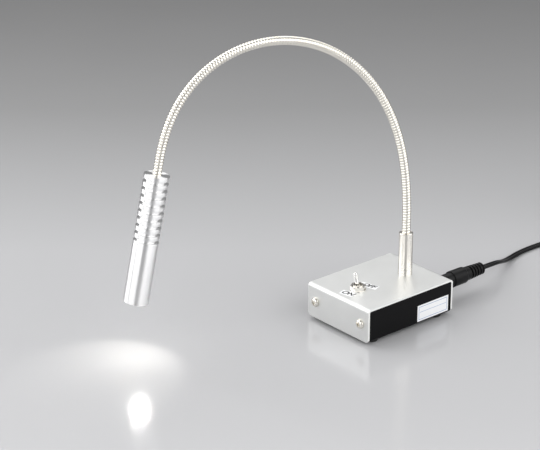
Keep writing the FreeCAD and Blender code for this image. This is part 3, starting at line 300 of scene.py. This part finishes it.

# Top cover: aluminium sheet bent down at both ends, blasted and anodised to a satin silver. The
# sheared edges are bare metal, and their near-white, less metallic colour is partly a painted
# highlight.
cover_half = 0.025
edge_from, edge_to = cover_half - 0.00015, cover_half - 0.00005
cover_satin = Finish("cover_satin")
cover_cloud = cover_satin.grain(0.012, 3.0)
cover_fine = cover_satin.grain(0.00022, 2.0)
# Long sheared edges: real bare metal, whitened further as a painted highlight.
cover_bare_edge_and_highlight = cover_satin.step(abs(cover_satin.along((1, 0, 0))), edge_from, edge_to)
cover_tone = cover_satin.mixed(cover_cloud, (0.72, 0.725, 0.715), (0.77, 0.775, 0.765))
cover_satin.drive("Base Color", cover_satin.mixed(cover_bare_edge_and_highlight, cover_tone, (0.95, 0.95, 0.93)))
cover_satin.drive("Roughness", 0.44 + (cover_cloud - 0.5) * 0.06 + (cover_fine - 0.5) * 0.1
                  - cover_bare_edge_and_highlight * 0.1)
cover_satin.drive("Metallic", 0.92 - cover_bare_edge_and_highlight * 0.6)
cover_satin.relief(cover_fine, 0.000012)
finished(cover_satin, "top_cover")

# Switch marks: the words ON and OFF, printed in black on strips of milky film that are stuck to
# the cover before and behind the toggle.
cover_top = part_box("top_cover")[1].z
film_thick = 0.00006
film_long = 0.0050
film_corner = 0.0004
mark_turn = math.radians(14)
film_finish = worn("mark_film", (0.98, 0.99, 1.0), (0.95, 0.96, 0.97), 0.45, 0.0008, 0.000002,
                   Alpha=0.97, Specular_IOR_Level=1.0)
ink_finish = worn("mark_ink", (0.018, 0.018, 0.020), (0.010, 0.010, 0.012), 0.5, 0.0003, 0.000002)


def rounded_outline(width, length, corner, steps=5):
    """Points round a rectangle with rounded corners, centred on zero."""
    points = []
    for turn in range(4):
        middle = Vector(((1, -1, -1, 1)[turn] * (width / 2 - corner),
                         (1, 1, -1, -1)[turn] * (length / 2 - corner)))
        for step in range(steps + 1):
            angle = (turn + step / steps) * math.pi / 2
            points.append(middle + corner * Vector((math.cos(angle), math.sin(angle))))
    return points


def boxed(name, middle, width, length, corner, profile, finish):
    """A moulded or cut piece: rounded rectangles stacked by (inset, height) pairs and capped."""
    points = []
    faces = []
    for inset, height in profile:
        ring = rounded_outline(width - 2 * inset, length - 2 * inset,
                               max(corner - inset, corner * 0.2))
        points += [(middle[0] + spot.x, middle[1] + spot.y, height) for spot in ring]
    count = len(points) // len(profile)
    for low in range(0, len(points) - count, count):
        faces += [(low + k, low + (k + 1) % count, low + count + (k + 1) % count, low + count + k)
                  for k in range(count)]
    faces.append(tuple(range(count)))
    faces.append(tuple(range(len(points) - count, len(points))))
    return made_piece(name, points, faces, finish)


marks = (("ON", 0.0004, -0.0257, 0.0085), ("OFF", 0.0006, -0.0098, 0.0112))
for word, mark_x, mark_y, film_width in marks:
    film = boxed("film_" + word.lower(), (0, 0), film_width, film_long, film_corner,
                 [(0, 0), (0, film_thick)], film_finish)
    film.location = (mark_x, mark_y, cover_top)
    film.rotation_euler.z = mark_turn
    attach(film, "case")
    letters = bpy.data.curves.new("letters_" + word.lower(), "FONT")
    letters.body = word
    letters.size = 0.0049
    letters.shear = 0.28
    letters.space_character = 0.95
    letters.offset = 0.00015
    letters.extrude = film_thick / 3
    letters.align_x = "CENTER"
    letters.align_y = "CENTER"
    set_type = bpy.data.objects.new("type", letters)
    bpy.context.scene.collection.objects.link(set_type)
    bpy.context.view_layer.update()
    print_mesh = bpy.data.meshes.new_from_object(set_type)
    bpy.data.objects.remove(set_type)
    print_mesh.materials.clear()
    print_mesh.materials.append(ink_finish.material)
    printed = bpy.data.objects.new("mark_" + word.lower(), print_mesh)
    printed.location = (mark_x, mark_y, cover_top + film_thick)
    printed.rotation_euler.z = mark_turn
    bpy.context.scene.collection.objects.link(printed)
    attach(printed, "case")

# Toggle switch: a small sealed body under the cover, its threaded bushing through the cover with a
# washer and a hexagon nut, all nickel plated brass, and a polished bat lever on a ball pivot.
switch_nickel = worn("switch_nickel", (0.86, 0.84, 0.80), (0.70, 0.68, 0.63), 0.2, 0.0003, 0.000006,
                     Metallic=1.0)
finished(switch_nickel, "switch_bushing", "switch_nut", "switch_washer")
lever_chrome = worn("lever_chrome", (0.93, 0.92, 0.90), (0.82, 0.81, 0.79), 0.1, 0.0006, 0.000002,
                    Metallic=1.0)
finished(lever_chrome, "switch_lever")
switch_shell = worn("switch_shell", (0.03, 0.06, 0.20), (0.02, 0.04, 0.14), 0.4, 0.0005, 0.00001)
finished(switch_shell, "switch_body")
terminal_tin = worn("terminal_tin", (0.72, 0.71, 0.68), (0.5, 0.49, 0.46), 0.35, 0.0004, 0.00001,
                    Metallic=1.0)
finished(terminal_tin, "switch_terminals")

# Cover screws: four M3 pan heads with a cross recess, cold headed and nickel plated, two through
# each end of the cover into the tray's flanges.
screw_z = 0.012
screw_x = 0.0186
end_y = 0.0325


def turned(name, profile, finish, sides=48, sharp=35, closed=False):
    """A piece turned on a lathe from (radius, height) points, on its own upright axis."""
    points = []
    rings = []
    for radius, height in profile:
        count = sides if radius > 1e-7 else 1
        rings.append((len(points), count))
        points += [(radius * math.cos(2 * math.pi * k / sides),
                    radius * math.sin(2 * math.pi * k / sides), height) for k in range(count)]
    faces = []
    pairs = list(zip(rings, rings[1:]))
    if closed:
        pairs.append((rings[-1], rings[0]))
    for (low, low_count), (high, high_count) in pairs:
        for k in range(sides):
            after = (k + 1) % sides
            face = [low + k % low_count, low + after % low_count,
                    high + after % high_count, high + k % high_count]
            face = list(dict.fromkeys(face))
            if len(face) > 2:
                faces.append(face)
    return made_piece(name, points, faces, finish, sharp)


def eased(profile, radius):
    """The same profile with each inner corner eased by a small curve."""
    done = [profile[0]]
    for before, corner, after in zip(profile, profile[1:], profile[2:]):
        corner = Vector(corner)
        ways = [Vector(before) - corner, Vector(after) - corner]
        reach = min(radius, ways[0].length * 0.45, ways[1].length * 0.45)
        one, two = [corner + way.normalized() * reach for way in ways]
        for share in (0, 0.25, 0.5, 0.75, 1):
            done.append(tuple((1 - share) ** 2 * one + 2 * share * (1 - share) * corner
                              + share ** 2 * two))
    done.append(profile[-1])
    return done


screw_nickel = worn("screw_nickel", (0.93, 0.90, 0.83), (0.80, 0.77, 0.70), 0.22, 0.0003, 0.000004,
                    Metallic=1.0)
head_profile = [(0, 0.0020), (0.0009, 0.00197), (0.0017, 0.00182), (0.0023, 0.00148),
                (0.00268, 0.00092), (0.0028, 0.0004), (0.0028, 0), (0.0015, 0), (0.0015, -0.0056),
                (0.0012, -0.006), (0, -0.006)]
master_screw = turned("master_screw", eased(head_profile, 0.00015), screw_nickel, sides=64)
cross_points = []
for height, long_half, short_half in ((0.0026, 0.00185, 0.00047), (0.0009, 0.00085, 0.00026)):
    for turn in range(4):
        way = Matrix.Rotation(turn * math.pi / 2, 2)
        cross_points += [(*(way @ Vector(spot)), height) for spot in (
            (short_half, short_half), (short_half, long_half), (-short_half, long_half))]
corners = len(cross_points) // 2
cross_faces = [(k, (k + 1) % corners, corners + (k + 1) % corners, corners + k)
               for k in range(corners)]
cross_faces += [tuple(range(corners)), tuple(range(corners, 2 * corners))]
cross_tool = made_piece("cross_tool", cross_points, cross_faces, screw_nickel)
recess = master_screw.modifiers.new("recess", "BOOLEAN")
recess.operation = "DIFFERENCE"
recess.object = cross_tool
bpy.context.view_layer.update()
screw_mesh = bpy.data.meshes.new_from_object(
    master_screw.evaluated_get(bpy.context.evaluated_depsgraph_get()))
screw_mesh.set_sharp_from_angle(angle=math.radians(35))
bpy.data.objects.remove(cross_tool)
bpy.data.objects.remove(master_screw)
screws = []
for end, side, spin in ((-1, -1, 20), (-1, 1, 65), (1, -1, 40), (1, 1, 5)):
    screw = bpy.data.objects.new("cover_screw_%s_%s" % (
        "front" if end < 0 else "rear", "left" if side < 0 else "right"), screw_mesh.copy())
    screw.matrix_world = (Matrix.Translation((side * screw_x, end * end_y, screw_z))
                          @ Matrix.Rotation(-end * math.pi / 2, 4, "X")
                          @ Matrix.Rotation(math.radians(spin), 4, "Z"))
    bpy.context.scene.collection.objects.link(screw)
    screws.append(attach(screw, "case"))
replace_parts(screws[0], "cover_screws")

# Stem: a turned brass sleeve with a bright nickel plate, its spigot through the cover and clamped
# from below by a washer and nut. The neck is seated in its bore.
stem_nickel = worn("stem_nickel", (0.92, 0.89, 0.83), (0.88, 0.85, 0.79), 0.26, 0.0020, 0.0000002,
                   (0.15, 0.15, 1), Metallic=1.0, Anisotropic=1.0, Anisotropic_Rotation=0.25)
finished(stem_nickel, "stem_sleeve")
finished(switch_nickel, "stem_nut", "stem_washer")

# Neck: a bendable hose wound from round steel wire with a hidden three-cornered wire locked in
# its groove, nickel plated. It slides and grips as it bends, and is pressed into stem and lamp.
neck_radius = 0.0025
neck_groove = 0.00042
neck_long = 0.268
neck_links = 18
link_long = neck_long / neck_links
ribs_a_link = 9
rib_samples = 10
neck_sides = 28
stem_grip = 0.018
lamp_grip = 0.008
stem_top = Vector((0.0015, 0.0175, 0.0475))
bend_x, bend_y = 0.30902, 0.95106
sideways = Vector((bend_y, -bend_x, 0)).normalized()
bends = [joint for joint in frame["joints"]
         if joint["child"].startswith("neck_") or joint["child"] == "lamp"]
lamp_lean = math.radians(169)
lamp_way = Vector((-bend_x * math.sin(lamp_lean), -bend_y * math.sin(lamp_lean),
                   math.cos(lamp_lean))).normalized()
nodes_on_line = [stem_top] + [Vector(joint["pos_m"]) for joint in bends]
nodes_on_line.append(nodes_on_line[-1] + lamp_way * link_long)
neck_bodies = ["case"] + [joint["child"] for joint in bends]
middles = [(one + two) / 2 for one, two in zip(nodes_on_line, nodes_on_line[1:])]
link_ways = [(two - one).normalized() for one, two in zip(nodes_on_line, nodes_on_line[1:])]
neck_steel = worn("neck_steel", (0.93, 0.90, 0.83), (0.78, 0.75, 0.68), 0.2, 0.0004, 0.000004,
                  Metallic=1.0)


def hose(name, spot_at, way_at, travelled, long, ribs):
    """A length of wound hose along a line, its ribs carried on from the length already travelled."""
    rows = int(round(ribs * rib_samples))
    points = []
    for row in range(rows + 1):
        share = row / rows
        spot, way = spot_at(share), way_at(share)
        outward = way.cross(sideways)
        run = (travelled + share * long) / link_long * ribs_a_link
        for k in range(neck_sides):
            phase = (run + k / neck_sides) % 1.0
            radius = neck_radius - neck_groove * abs(2 * phase - 1) ** 3
            angle = 2 * math.pi * k / neck_sides
            points.append(spot + radius * (math.cos(angle) * outward + math.sin(angle) * sideways))
    faces = [(row + k, row + (k + 1) % neck_sides,
              row + neck_sides + (k + 1) % neck_sides, row + neck_sides + k)
             for row in range(0, rows * neck_sides, neck_sides) for k in range(neck_sides)]
    faces += [tuple(range(neck_sides)), tuple(range(rows * neck_sides, (rows + 1) * neck_sides))]
    return made_piece(name, points, faces, neck_steel, sharp=60)


def straight(name, start, finish_spot, travelled):
    """A straight length of the hose."""
    way = (finish_spot - start).normalized()
    long = (finish_spot - start).length
    return hose(name, lambda share: start.lerp(finish_spot, share), lambda share: way,
                travelled, long, long / link_long * ribs_a_link)


root_start = nodes_on_line[0] - link_ways[0] * stem_grip
neck_root = straight("neck_hose_01", root_start, middles[0], -stem_grip)
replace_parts(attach(neck_root, "case"), "neck_link_01")
spans = zip(middles, middles[1:], link_ways, link_ways[1:])
for number, (one, two, way_one, way_two) in enumerate(spans):
    kink = way_one.angle(way_two)
    axis = way_one.cross(way_two).normalized()
    radius = link_long / 2 / math.tan(kink / 2)
    hub = one + axis.cross(way_one) * radius
    piece = hose("neck_hose_%02d" % (number + 2),
                 lambda share: hub + Matrix.Rotation(kink * share, 3, axis) @ (one - hub),
                 lambda share: Matrix.Rotation(kink * share, 3, axis) @ way_one,
                 link_long * (number + 0.5), link_long, ribs_a_link)
    neck_bodies[number + 1]
    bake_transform(piece)
    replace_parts(piece, "neck_link_%02d" % (number + 2))
lamp_seat = nodes_on_line[-1] + link_ways[-1] * lamp_grip
neck_tip = straight("neck_hose_19", middles[-1], lamp_seat, link_long * (neck_links - 0.5))
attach(neck_tip, "lamp")
finished(wire_red, "lamp_leads")

# Lamp body: a turned aluminium bar, satin anodised, with nine cooling rings cut round it next to
# the neck. The neck is held in its upper end, and the lower end is bored out for the emitter.
lamp_half = 0.0070
lamp_root = 0.0054
lamp_long = 0.073
ring_count = 9
ring_pitch = 0.00415
ring_thick = 0.0023
pocket_half = 0.0058
pocket_deep = 0.011
rim_chamfer = 0.0004
seat_half = 0.00255
seat_deep = 0.00805
lead_half = 0.0020
lamp_place = Matrix((sideways, lamp_way.cross(sideways), lamp_way)).transposed().to_4x4()
lamp_place.translation = nodes_on_line[-1]
lamp_satin = Finish("lamp_satin", Metallic=1.0, Anisotropic=1.0, Anisotropic_Rotation=0.25)
turning = lamp_satin.grain(0.00012, 1.0, (0, 0, 1))
lamp_cloud = lamp_satin.grain(0.006, 3.0)
lamp_satin.drive("Base Color", lamp_satin.mixed(lamp_cloud, (0.95, 0.95, 0.95), (0.98, 0.98, 0.98)))
lamp_satin.drive("Roughness", 0.33 + (turning - 0.5) * 0.03 + (lamp_cloud - 0.5) * 0.02)
lamp_satin.relief(turning, 0.0000006)
lamp_profile = [(seat_half, 0)]
for ring in range(ring_count):
    lamp_profile += [(lamp_half, ring * ring_pitch), (lamp_half, ring * ring_pitch + ring_thick),
                     (lamp_root, ring * ring_pitch + ring_thick), (lamp_root, (ring + 1) * ring_pitch)]
lamp_profile += [(lamp_half, ring_count * ring_pitch), (lamp_half, lamp_long - rim_chamfer),
                 (lamp_half - rim_chamfer, lamp_long), (pocket_half, lamp_long),
                 (pocket_half, lamp_long - pocket_deep), (lead_half, lamp_long - pocket_deep),
                 (lead_half, seat_deep), (seat_half, seat_deep), (seat_half, 0)]
lamp_body = turned("lamp_barrel", eased(lamp_profile, 0.00016)[:-1], lamp_satin, sides=96, sharp=30,
                   closed=True)
lamp_body.matrix_world = lamp_place
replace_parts(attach(lamp_body, "lamp"), "lamp_body")

# Lamp head: a yellow emitter on its round white board, a black spacer tube, a domed acrylic lens
# and a threaded ring that holds them in the bore. It lights a soft round pool on the table.
board_white = worn("board_white", (0.82, 0.82, 0.80), (0.70, 0.70, 0.68), 0.4, 0.0005, 0.00001)
finished(board_white, "emitter_board")
emitter_glow = worn("emitter_glow", (0.95, 0.80, 0.25), (0.90, 0.72, 0.18), 0.4, 0.0005, 0.00001,
                    Emission_Color=(1.0, 0.97, 0.9, 1), Emission_Strength=12.0)
finished(emitter_glow, "emitter")
spacer_black = worn("spacer_black", (0.02, 0.02, 0.02), (0.012, 0.012, 0.012), 0.5, 0.0004, 0.00001)
finished(spacer_black, "lens_spacer")
lens_clear = worn("lens_clear", (0.97, 0.98, 0.98), (0.92, 0.93, 0.93), 0.06, 0.002, 0.000002,
                  Transmission_Weight=0.6, IOR=1.49, Emission_Color=(1.0, 0.98, 0.94, 1),
                  Emission_Strength=620.0)
lens_half = 0.0057
lens_low, lens_shoulder = 0.0675, 0.0689
face_curve, face_middle = 0.008, 0.0625
face_angle = math.radians(36.87)
face_steps = 8
dome_profile = [(0, lens_low), (lens_half, lens_low), (lens_half, lens_shoulder)]
for step in range(face_steps + 1):
    angle = face_angle * (1 - step / face_steps)
    dome_profile.append((face_curve * math.sin(angle), face_middle + face_curve * math.cos(angle)))
lens_dome = turned("lens_dome", dome_profile, lens_clear, sides=64, sharp=30)
lens_dome.matrix_world = lamp_place
# The dome's glow shows to the eye and in mirror images. The beam makes the pool of light.
lens_dome.visible_diffuse = False
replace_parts(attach(lens_dome, "lamp"), "lens")
finished(spacer_black, "lens_ring")
beam = bpy.data.lights.new("lamp_beam", "SPOT")
beam.energy = 0.029
beam.color = (1.0, 0.97, 0.90)
beam.spot_size = math.radians(110)
beam.spot_blend = 0.35
beam.shadow_soft_size = 0.003
lamp_beam = bpy.data.objects.new("lamp_beam", beam)
beam_gap = 0.0005
beam_start = lamp_place @ Vector((0, 0, lamp_long + beam_gap))
beam_end = Vector((-0.0448, -0.1497, 0))
beam_turn = (beam_end - beam_start).to_track_quat("-Z", "Y").to_matrix().to_4x4()
lamp_beam.matrix_world = Matrix.Translation(beam_start) @ beam_turn
bpy.context.scene.collection.objects.link(lamp_beam)
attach(lamp_beam, "lamp")

# Supply socket: a black moulded jack through the rear end of the cover, fixed by a nickel nut, with
# tinned contacts for the wires.
socket_black = worn("socket_black", (0.02, 0.02, 0.021), (0.013, 0.013, 0.014), 0.4, 0.0004, 0.00001)
finished(socket_black, "supply_socket")
finished(switch_nickel, "socket_nut")
finished(terminal_tin, "socket_contacts")

# Label: a white film plate on the right side of the tray, left bare but for a thin ruled frame and
# one line across it.
label_low, label_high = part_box("label_plate")
label_white = Finish("label_white", Roughness=0.32)
label_y = label_white.along((0, 1, 0))
label_z = label_white.along((0, 0, 1))
label_mid = (label_low + label_high) / 2
label_reach = (label_high - label_low) / 2
in_y = label_reach.y - abs(label_y - label_mid.y)
in_z = label_reach.z - abs(label_z - label_mid.z)
margin = in_y.sum("MINIMUM", in_y, in_z)
frame_inset = 0.0011
line_above_middle = 0.0006
frame_line = label_white.step(abs(margin - frame_inset), 0.00022, 0.00012)
mid_line = label_white.step(abs(label_z - label_mid.z - line_above_middle), 0.00018, 0.0001)
inside = label_white.step(margin, 0.0016, 0.0018)
label_rule = frame_line.sum("MAXIMUM", frame_line, mid_line * inside)
label_cloud = label_white.grain(0.004, 3.0)
paper = label_white.mixed(label_cloud, (0.92, 0.93, 0.95), (0.95, 0.96, 0.97))
label_white.drive("Base Color", label_white.mixed(label_rule * 0.8, paper, (0.25, 0.36, 0.58)))
label_white.relief(label_white.grain(0.0006), 0.000004)
finished(label_white, "label_plate")

# Supply plug: a plated barrel in a moulding of soft black vinyl, with a collar to grip and a
# strain relief whose rings are cut round it, moulded straight on to the cord.
plug_place = (0.009, 0.0362, 0.012)
plug_axis = Matrix.Translation(plug_place) @ Matrix.Rotation(-math.pi / 2, 4, "X")
vinyl_black = worn("vinyl_black", (0.0045, 0.0045, 0.005), (0.0025, 0.0025, 0.003), 0.36,
                   0.0003, 0.000006, Specular_IOR_Level=0.17)
plug_profile = [(0, 0.0030), (0.00275, 0.0030), (0.00275, 0), (0.0043, 0), (0.0043, 0.0108),
                (0.0049, 0.0108), (0.0049, 0.0210)]
relief_rings = 5
relief_start, relief_long = 0.0244, 0.0114
relief_wide, relief_taper = 0.0082, 0.0012
relief_root = 0.0029
collar_slope = 0.0034
relief_step = relief_long / relief_rings
for ring in range(relief_rings):
    rim = (relief_wide - relief_taper / relief_rings * ring) / 2
    low = relief_start + relief_step * ring
    plug_profile += [(rim, low - (collar_slope if ring == 0 else 0)), (rim, low + relief_step * 0.33),
                     (relief_root, low + relief_step * 0.36), (relief_root, low + relief_step * 0.66),
                     (rim, low + relief_step * 0.70)]
plug_profile += [(0.0036, 0.0358), (0, 0.0358)]
plug_piece = turned("plug_grip", eased(plug_profile, 0.0006), vinyl_black, sides=64, sharp=50)
plug_piece.matrix_world = plug_axis
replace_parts(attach(plug_piece, "supply_lead"), "plug_moulding")
barrel_nickel = worn("barrel_nickel", (0.86, 0.84, 0.80), (0.72, 0.70, 0.66), 0.2, 0.0003, 0.000004,
                     Metallic=1.0)
finished(barrel_nickel, "plug_barrel_tube")

# Supply cord: a flat twin lead, two stranded cores side by side in one skin of black vinyl. It
# droops from the plug, lies across the table, and the rest is wound in a neat two-layer coil.
cord_wide = 0.0038
core_half = cord_wide / 4
skin_steps = 5
skin_sweep = math.radians(152)
# The route is in millimetres. The curve runs inside its corners, so the turns are drawn wider.
cord_route = [(9, 71.6, 12), (9, 80, 12), (6, 90, 9.8), (0.5, 100, 5.4), (-5, 111, 2.0),
              (-8.8, 123, 1.05), (-9.6, 136, 1.05), (-8.9, 150, 1.05), (-9.4, 163, 1.7),
              (-9.4, 172.2, 1.7)]
coil_middle = Vector((21.5, 176, 0))
coil_outer = 30.9
coil_pitch = 4.4
coil_low = 1.7
coil_rise = 2.05
turns_in = 4.75
climb_turns = 0.5
turn_points = 16
coil_swell = 1 / math.cos(math.pi / turn_points)
coil_points = int(turn_points * (2 * turns_in + climb_turns))
for number in range(coil_points + 1):
    turned_by = number / turn_points
    climb = min(max((turned_by - turns_in) / climb_turns, 0), 1)
    radius = coil_outer - coil_pitch * min(turned_by, turns_in) - math.sin(math.pi * climb) ** 2
    radius += coil_pitch * max(turned_by - turns_in - climb_turns, 0)
    height = coil_low + coil_rise * climb * climb * (3 - 2 * climb)
    angle = 2 * math.pi * turned_by
    spot = coil_middle + coil_swell * radius * Vector((-math.cos(angle), math.sin(angle), 0))
    cord_route.append((spot.x, spot.y, height))
cord_route += [(-9.4, 183.4, 3.9), (-11, 194.5, 7.9), (-11, 199.6, 8)]
cord_curve = bpy.data.curves.new("cord_line", "CURVE")
cord_curve.dimensions = "3D"
cord_curve.resolution_u = 6
cord_spline = cord_curve.splines.new("NURBS")
cord_spline.points.add(len(cord_route) - 1)
for point, spot in zip(cord_spline.points, cord_route):
    point.co = (spot[0] / 1000, spot[1] / 1000, spot[2] / 1000, 1)
cord_spline.order_u = 3
cord_spline.use_endpoint_u = True
cord_line = bpy.data.objects.new("cord_line", cord_curve)
bpy.context.scene.collection.objects.link(cord_line)
bpy.context.view_layer.update()
line_mesh = bpy.data.meshes.new_from_object(cord_line)
cord_path = [vertex.co.copy() for vertex in line_mesh.vertices]
bpy.data.objects.remove(cord_line)
twin_section = []
for side in (1, -1):
    for step in range(-skin_steps, skin_steps + 1):
        angle = step / skin_steps * skin_sweep
        twin_section.append((side * core_half * (1 + math.cos(angle)),
                             side * core_half * math.sin(angle)))
cord_points = []
for number, spot in enumerate(cord_path):
    before = cord_path[max(number - 1, 0)]
    after = cord_path[min(number + 1, len(cord_path) - 1)]
    way = (after - before).normalized()
    wide = Vector((0, 0, 1)).cross(way).normalized()
    thick = way.cross(wide)
    cord_points += [spot + wide * x + thick * z for x, z in twin_section]
count = len(twin_section)
cord_faces = [(row + k, row + (k + 1) % count,
               row + count + (k + 1) % count, row + count + k)
              for row in range(0, len(cord_points) - count, count) for k in range(count)]
cord_faces += [tuple(range(count)), tuple(range(len(cord_points) - count, len(cord_points)))]
cord_piece = made_piece("cord_twin", cord_points, cord_faces, vinyl_black, sharp=70)
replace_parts(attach(cord_piece, "supply_lead"), "supply_cord", "cord_coil", "cord_tail")

# Cord tie: a band of black hook-and-loop tape wrapped round all the turns of the coil, standing a
# little clear of them on top.
tie_thick = 0.0006
tie_wide = 0.0040
tie_slack = 0.0008
tie_corner = 0.0018
tie_inner, tie_outer = 0.0074, 0.0335
tie_top = (coil_low + coil_rise) / 1000 + core_half + tie_slack
tie_finish = worn("tie_tape", (0.022, 0.022, 0.024), (0.012, 0.012, 0.013), 0.8, 0.0005, 0.00012)
tie_loop = [Vector(spot) for spot in rounded_outline(tie_outer - tie_inner, tie_top, tie_corner, 6)]
tie_mid = Vector(((tie_outer + tie_inner) / 2, tie_top / 2))
tie_turn = Matrix.Rotation(math.radians(30), 4, "Z")
tie_points = []
for spot in tie_loop:
    inner = Vector((spot.x * (1 - 2 * tie_thick / (tie_outer - tie_inner)),
                    spot.y * (1 - 2 * tie_thick / tie_top)))
    for across, edge in ((-1, spot), (1, spot), (1, inner), (-1, inner)):
        local = Vector((tie_mid.x + edge.x, across * tie_wide / 2, tie_mid.y + edge.y))
        tie_points.append(coil_middle / 1000 + tie_turn @ local)
tie_faces = []
for k in range(len(tie_loop)):
    after = (k + 1) % len(tie_loop)
    tie_faces += [(4 * k + j, 4 * k + (j + 1) % 4, 4 * after + (j + 1) % 4, 4 * after + j)
                  for j in range(4)]
tie_band = made_piece("tie_band", tie_points, tie_faces, tie_finish, sharp=40)
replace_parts(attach(tie_band, "supply_lead"), "cord_tie")

# Adapter: a mains plug adapter in two moulded half shells of black plastic with a parting line, a
# grommet for the cord and two flat brass blades.
adapter_middle = (-0.011, 0.231)
adapter_wide, adapter_long, adapter_tall = 0.028, 0.046, 0.024
adapter_wall, adapter_corner = 0.0018, 0.003
half_tall = adapter_tall / 2
shell_plastic = worn("adapter_plastic", (0.020, 0.020, 0.021), (0.012, 0.012, 0.013), 0.5,
                     0.0005, 0.00003)
base_profile = [(0.0016, 0), (0.0005, 0.0005), (0, 0.0016), (0, half_tall - 0.0004),
                (0.00035, half_tall - 0.0002), (0.00035, half_tall), (adapter_wall, half_tall),
                (adapter_wall, adapter_wall)]
lid_profile = [(inset, adapter_tall - height) for inset, height in base_profile]
base_shell = boxed("adapter_base_shell", adapter_middle, adapter_wide, adapter_long, adapter_corner,
                   base_profile, shell_plastic)
lid_shell = boxed("adapter_lid_shell", adapter_middle, adapter_wide, adapter_long, adapter_corner,
                  lid_profile, shell_plastic)
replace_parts(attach(base_shell, "supply_lead"), "adapter_base")
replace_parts(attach(lid_shell, "supply_lead"), "adapter_lid")
finished(vinyl_black, "cord_grommet")
finished(board_green, "adapter_board")
blade_brass = worn("blade_brass", (0.80, 0.72, 0.50), (0.66, 0.58, 0.38), 0.25, 0.0004, 0.000006,
                   Metallic=1.0)
finished(blade_brass, "adapter_blades")
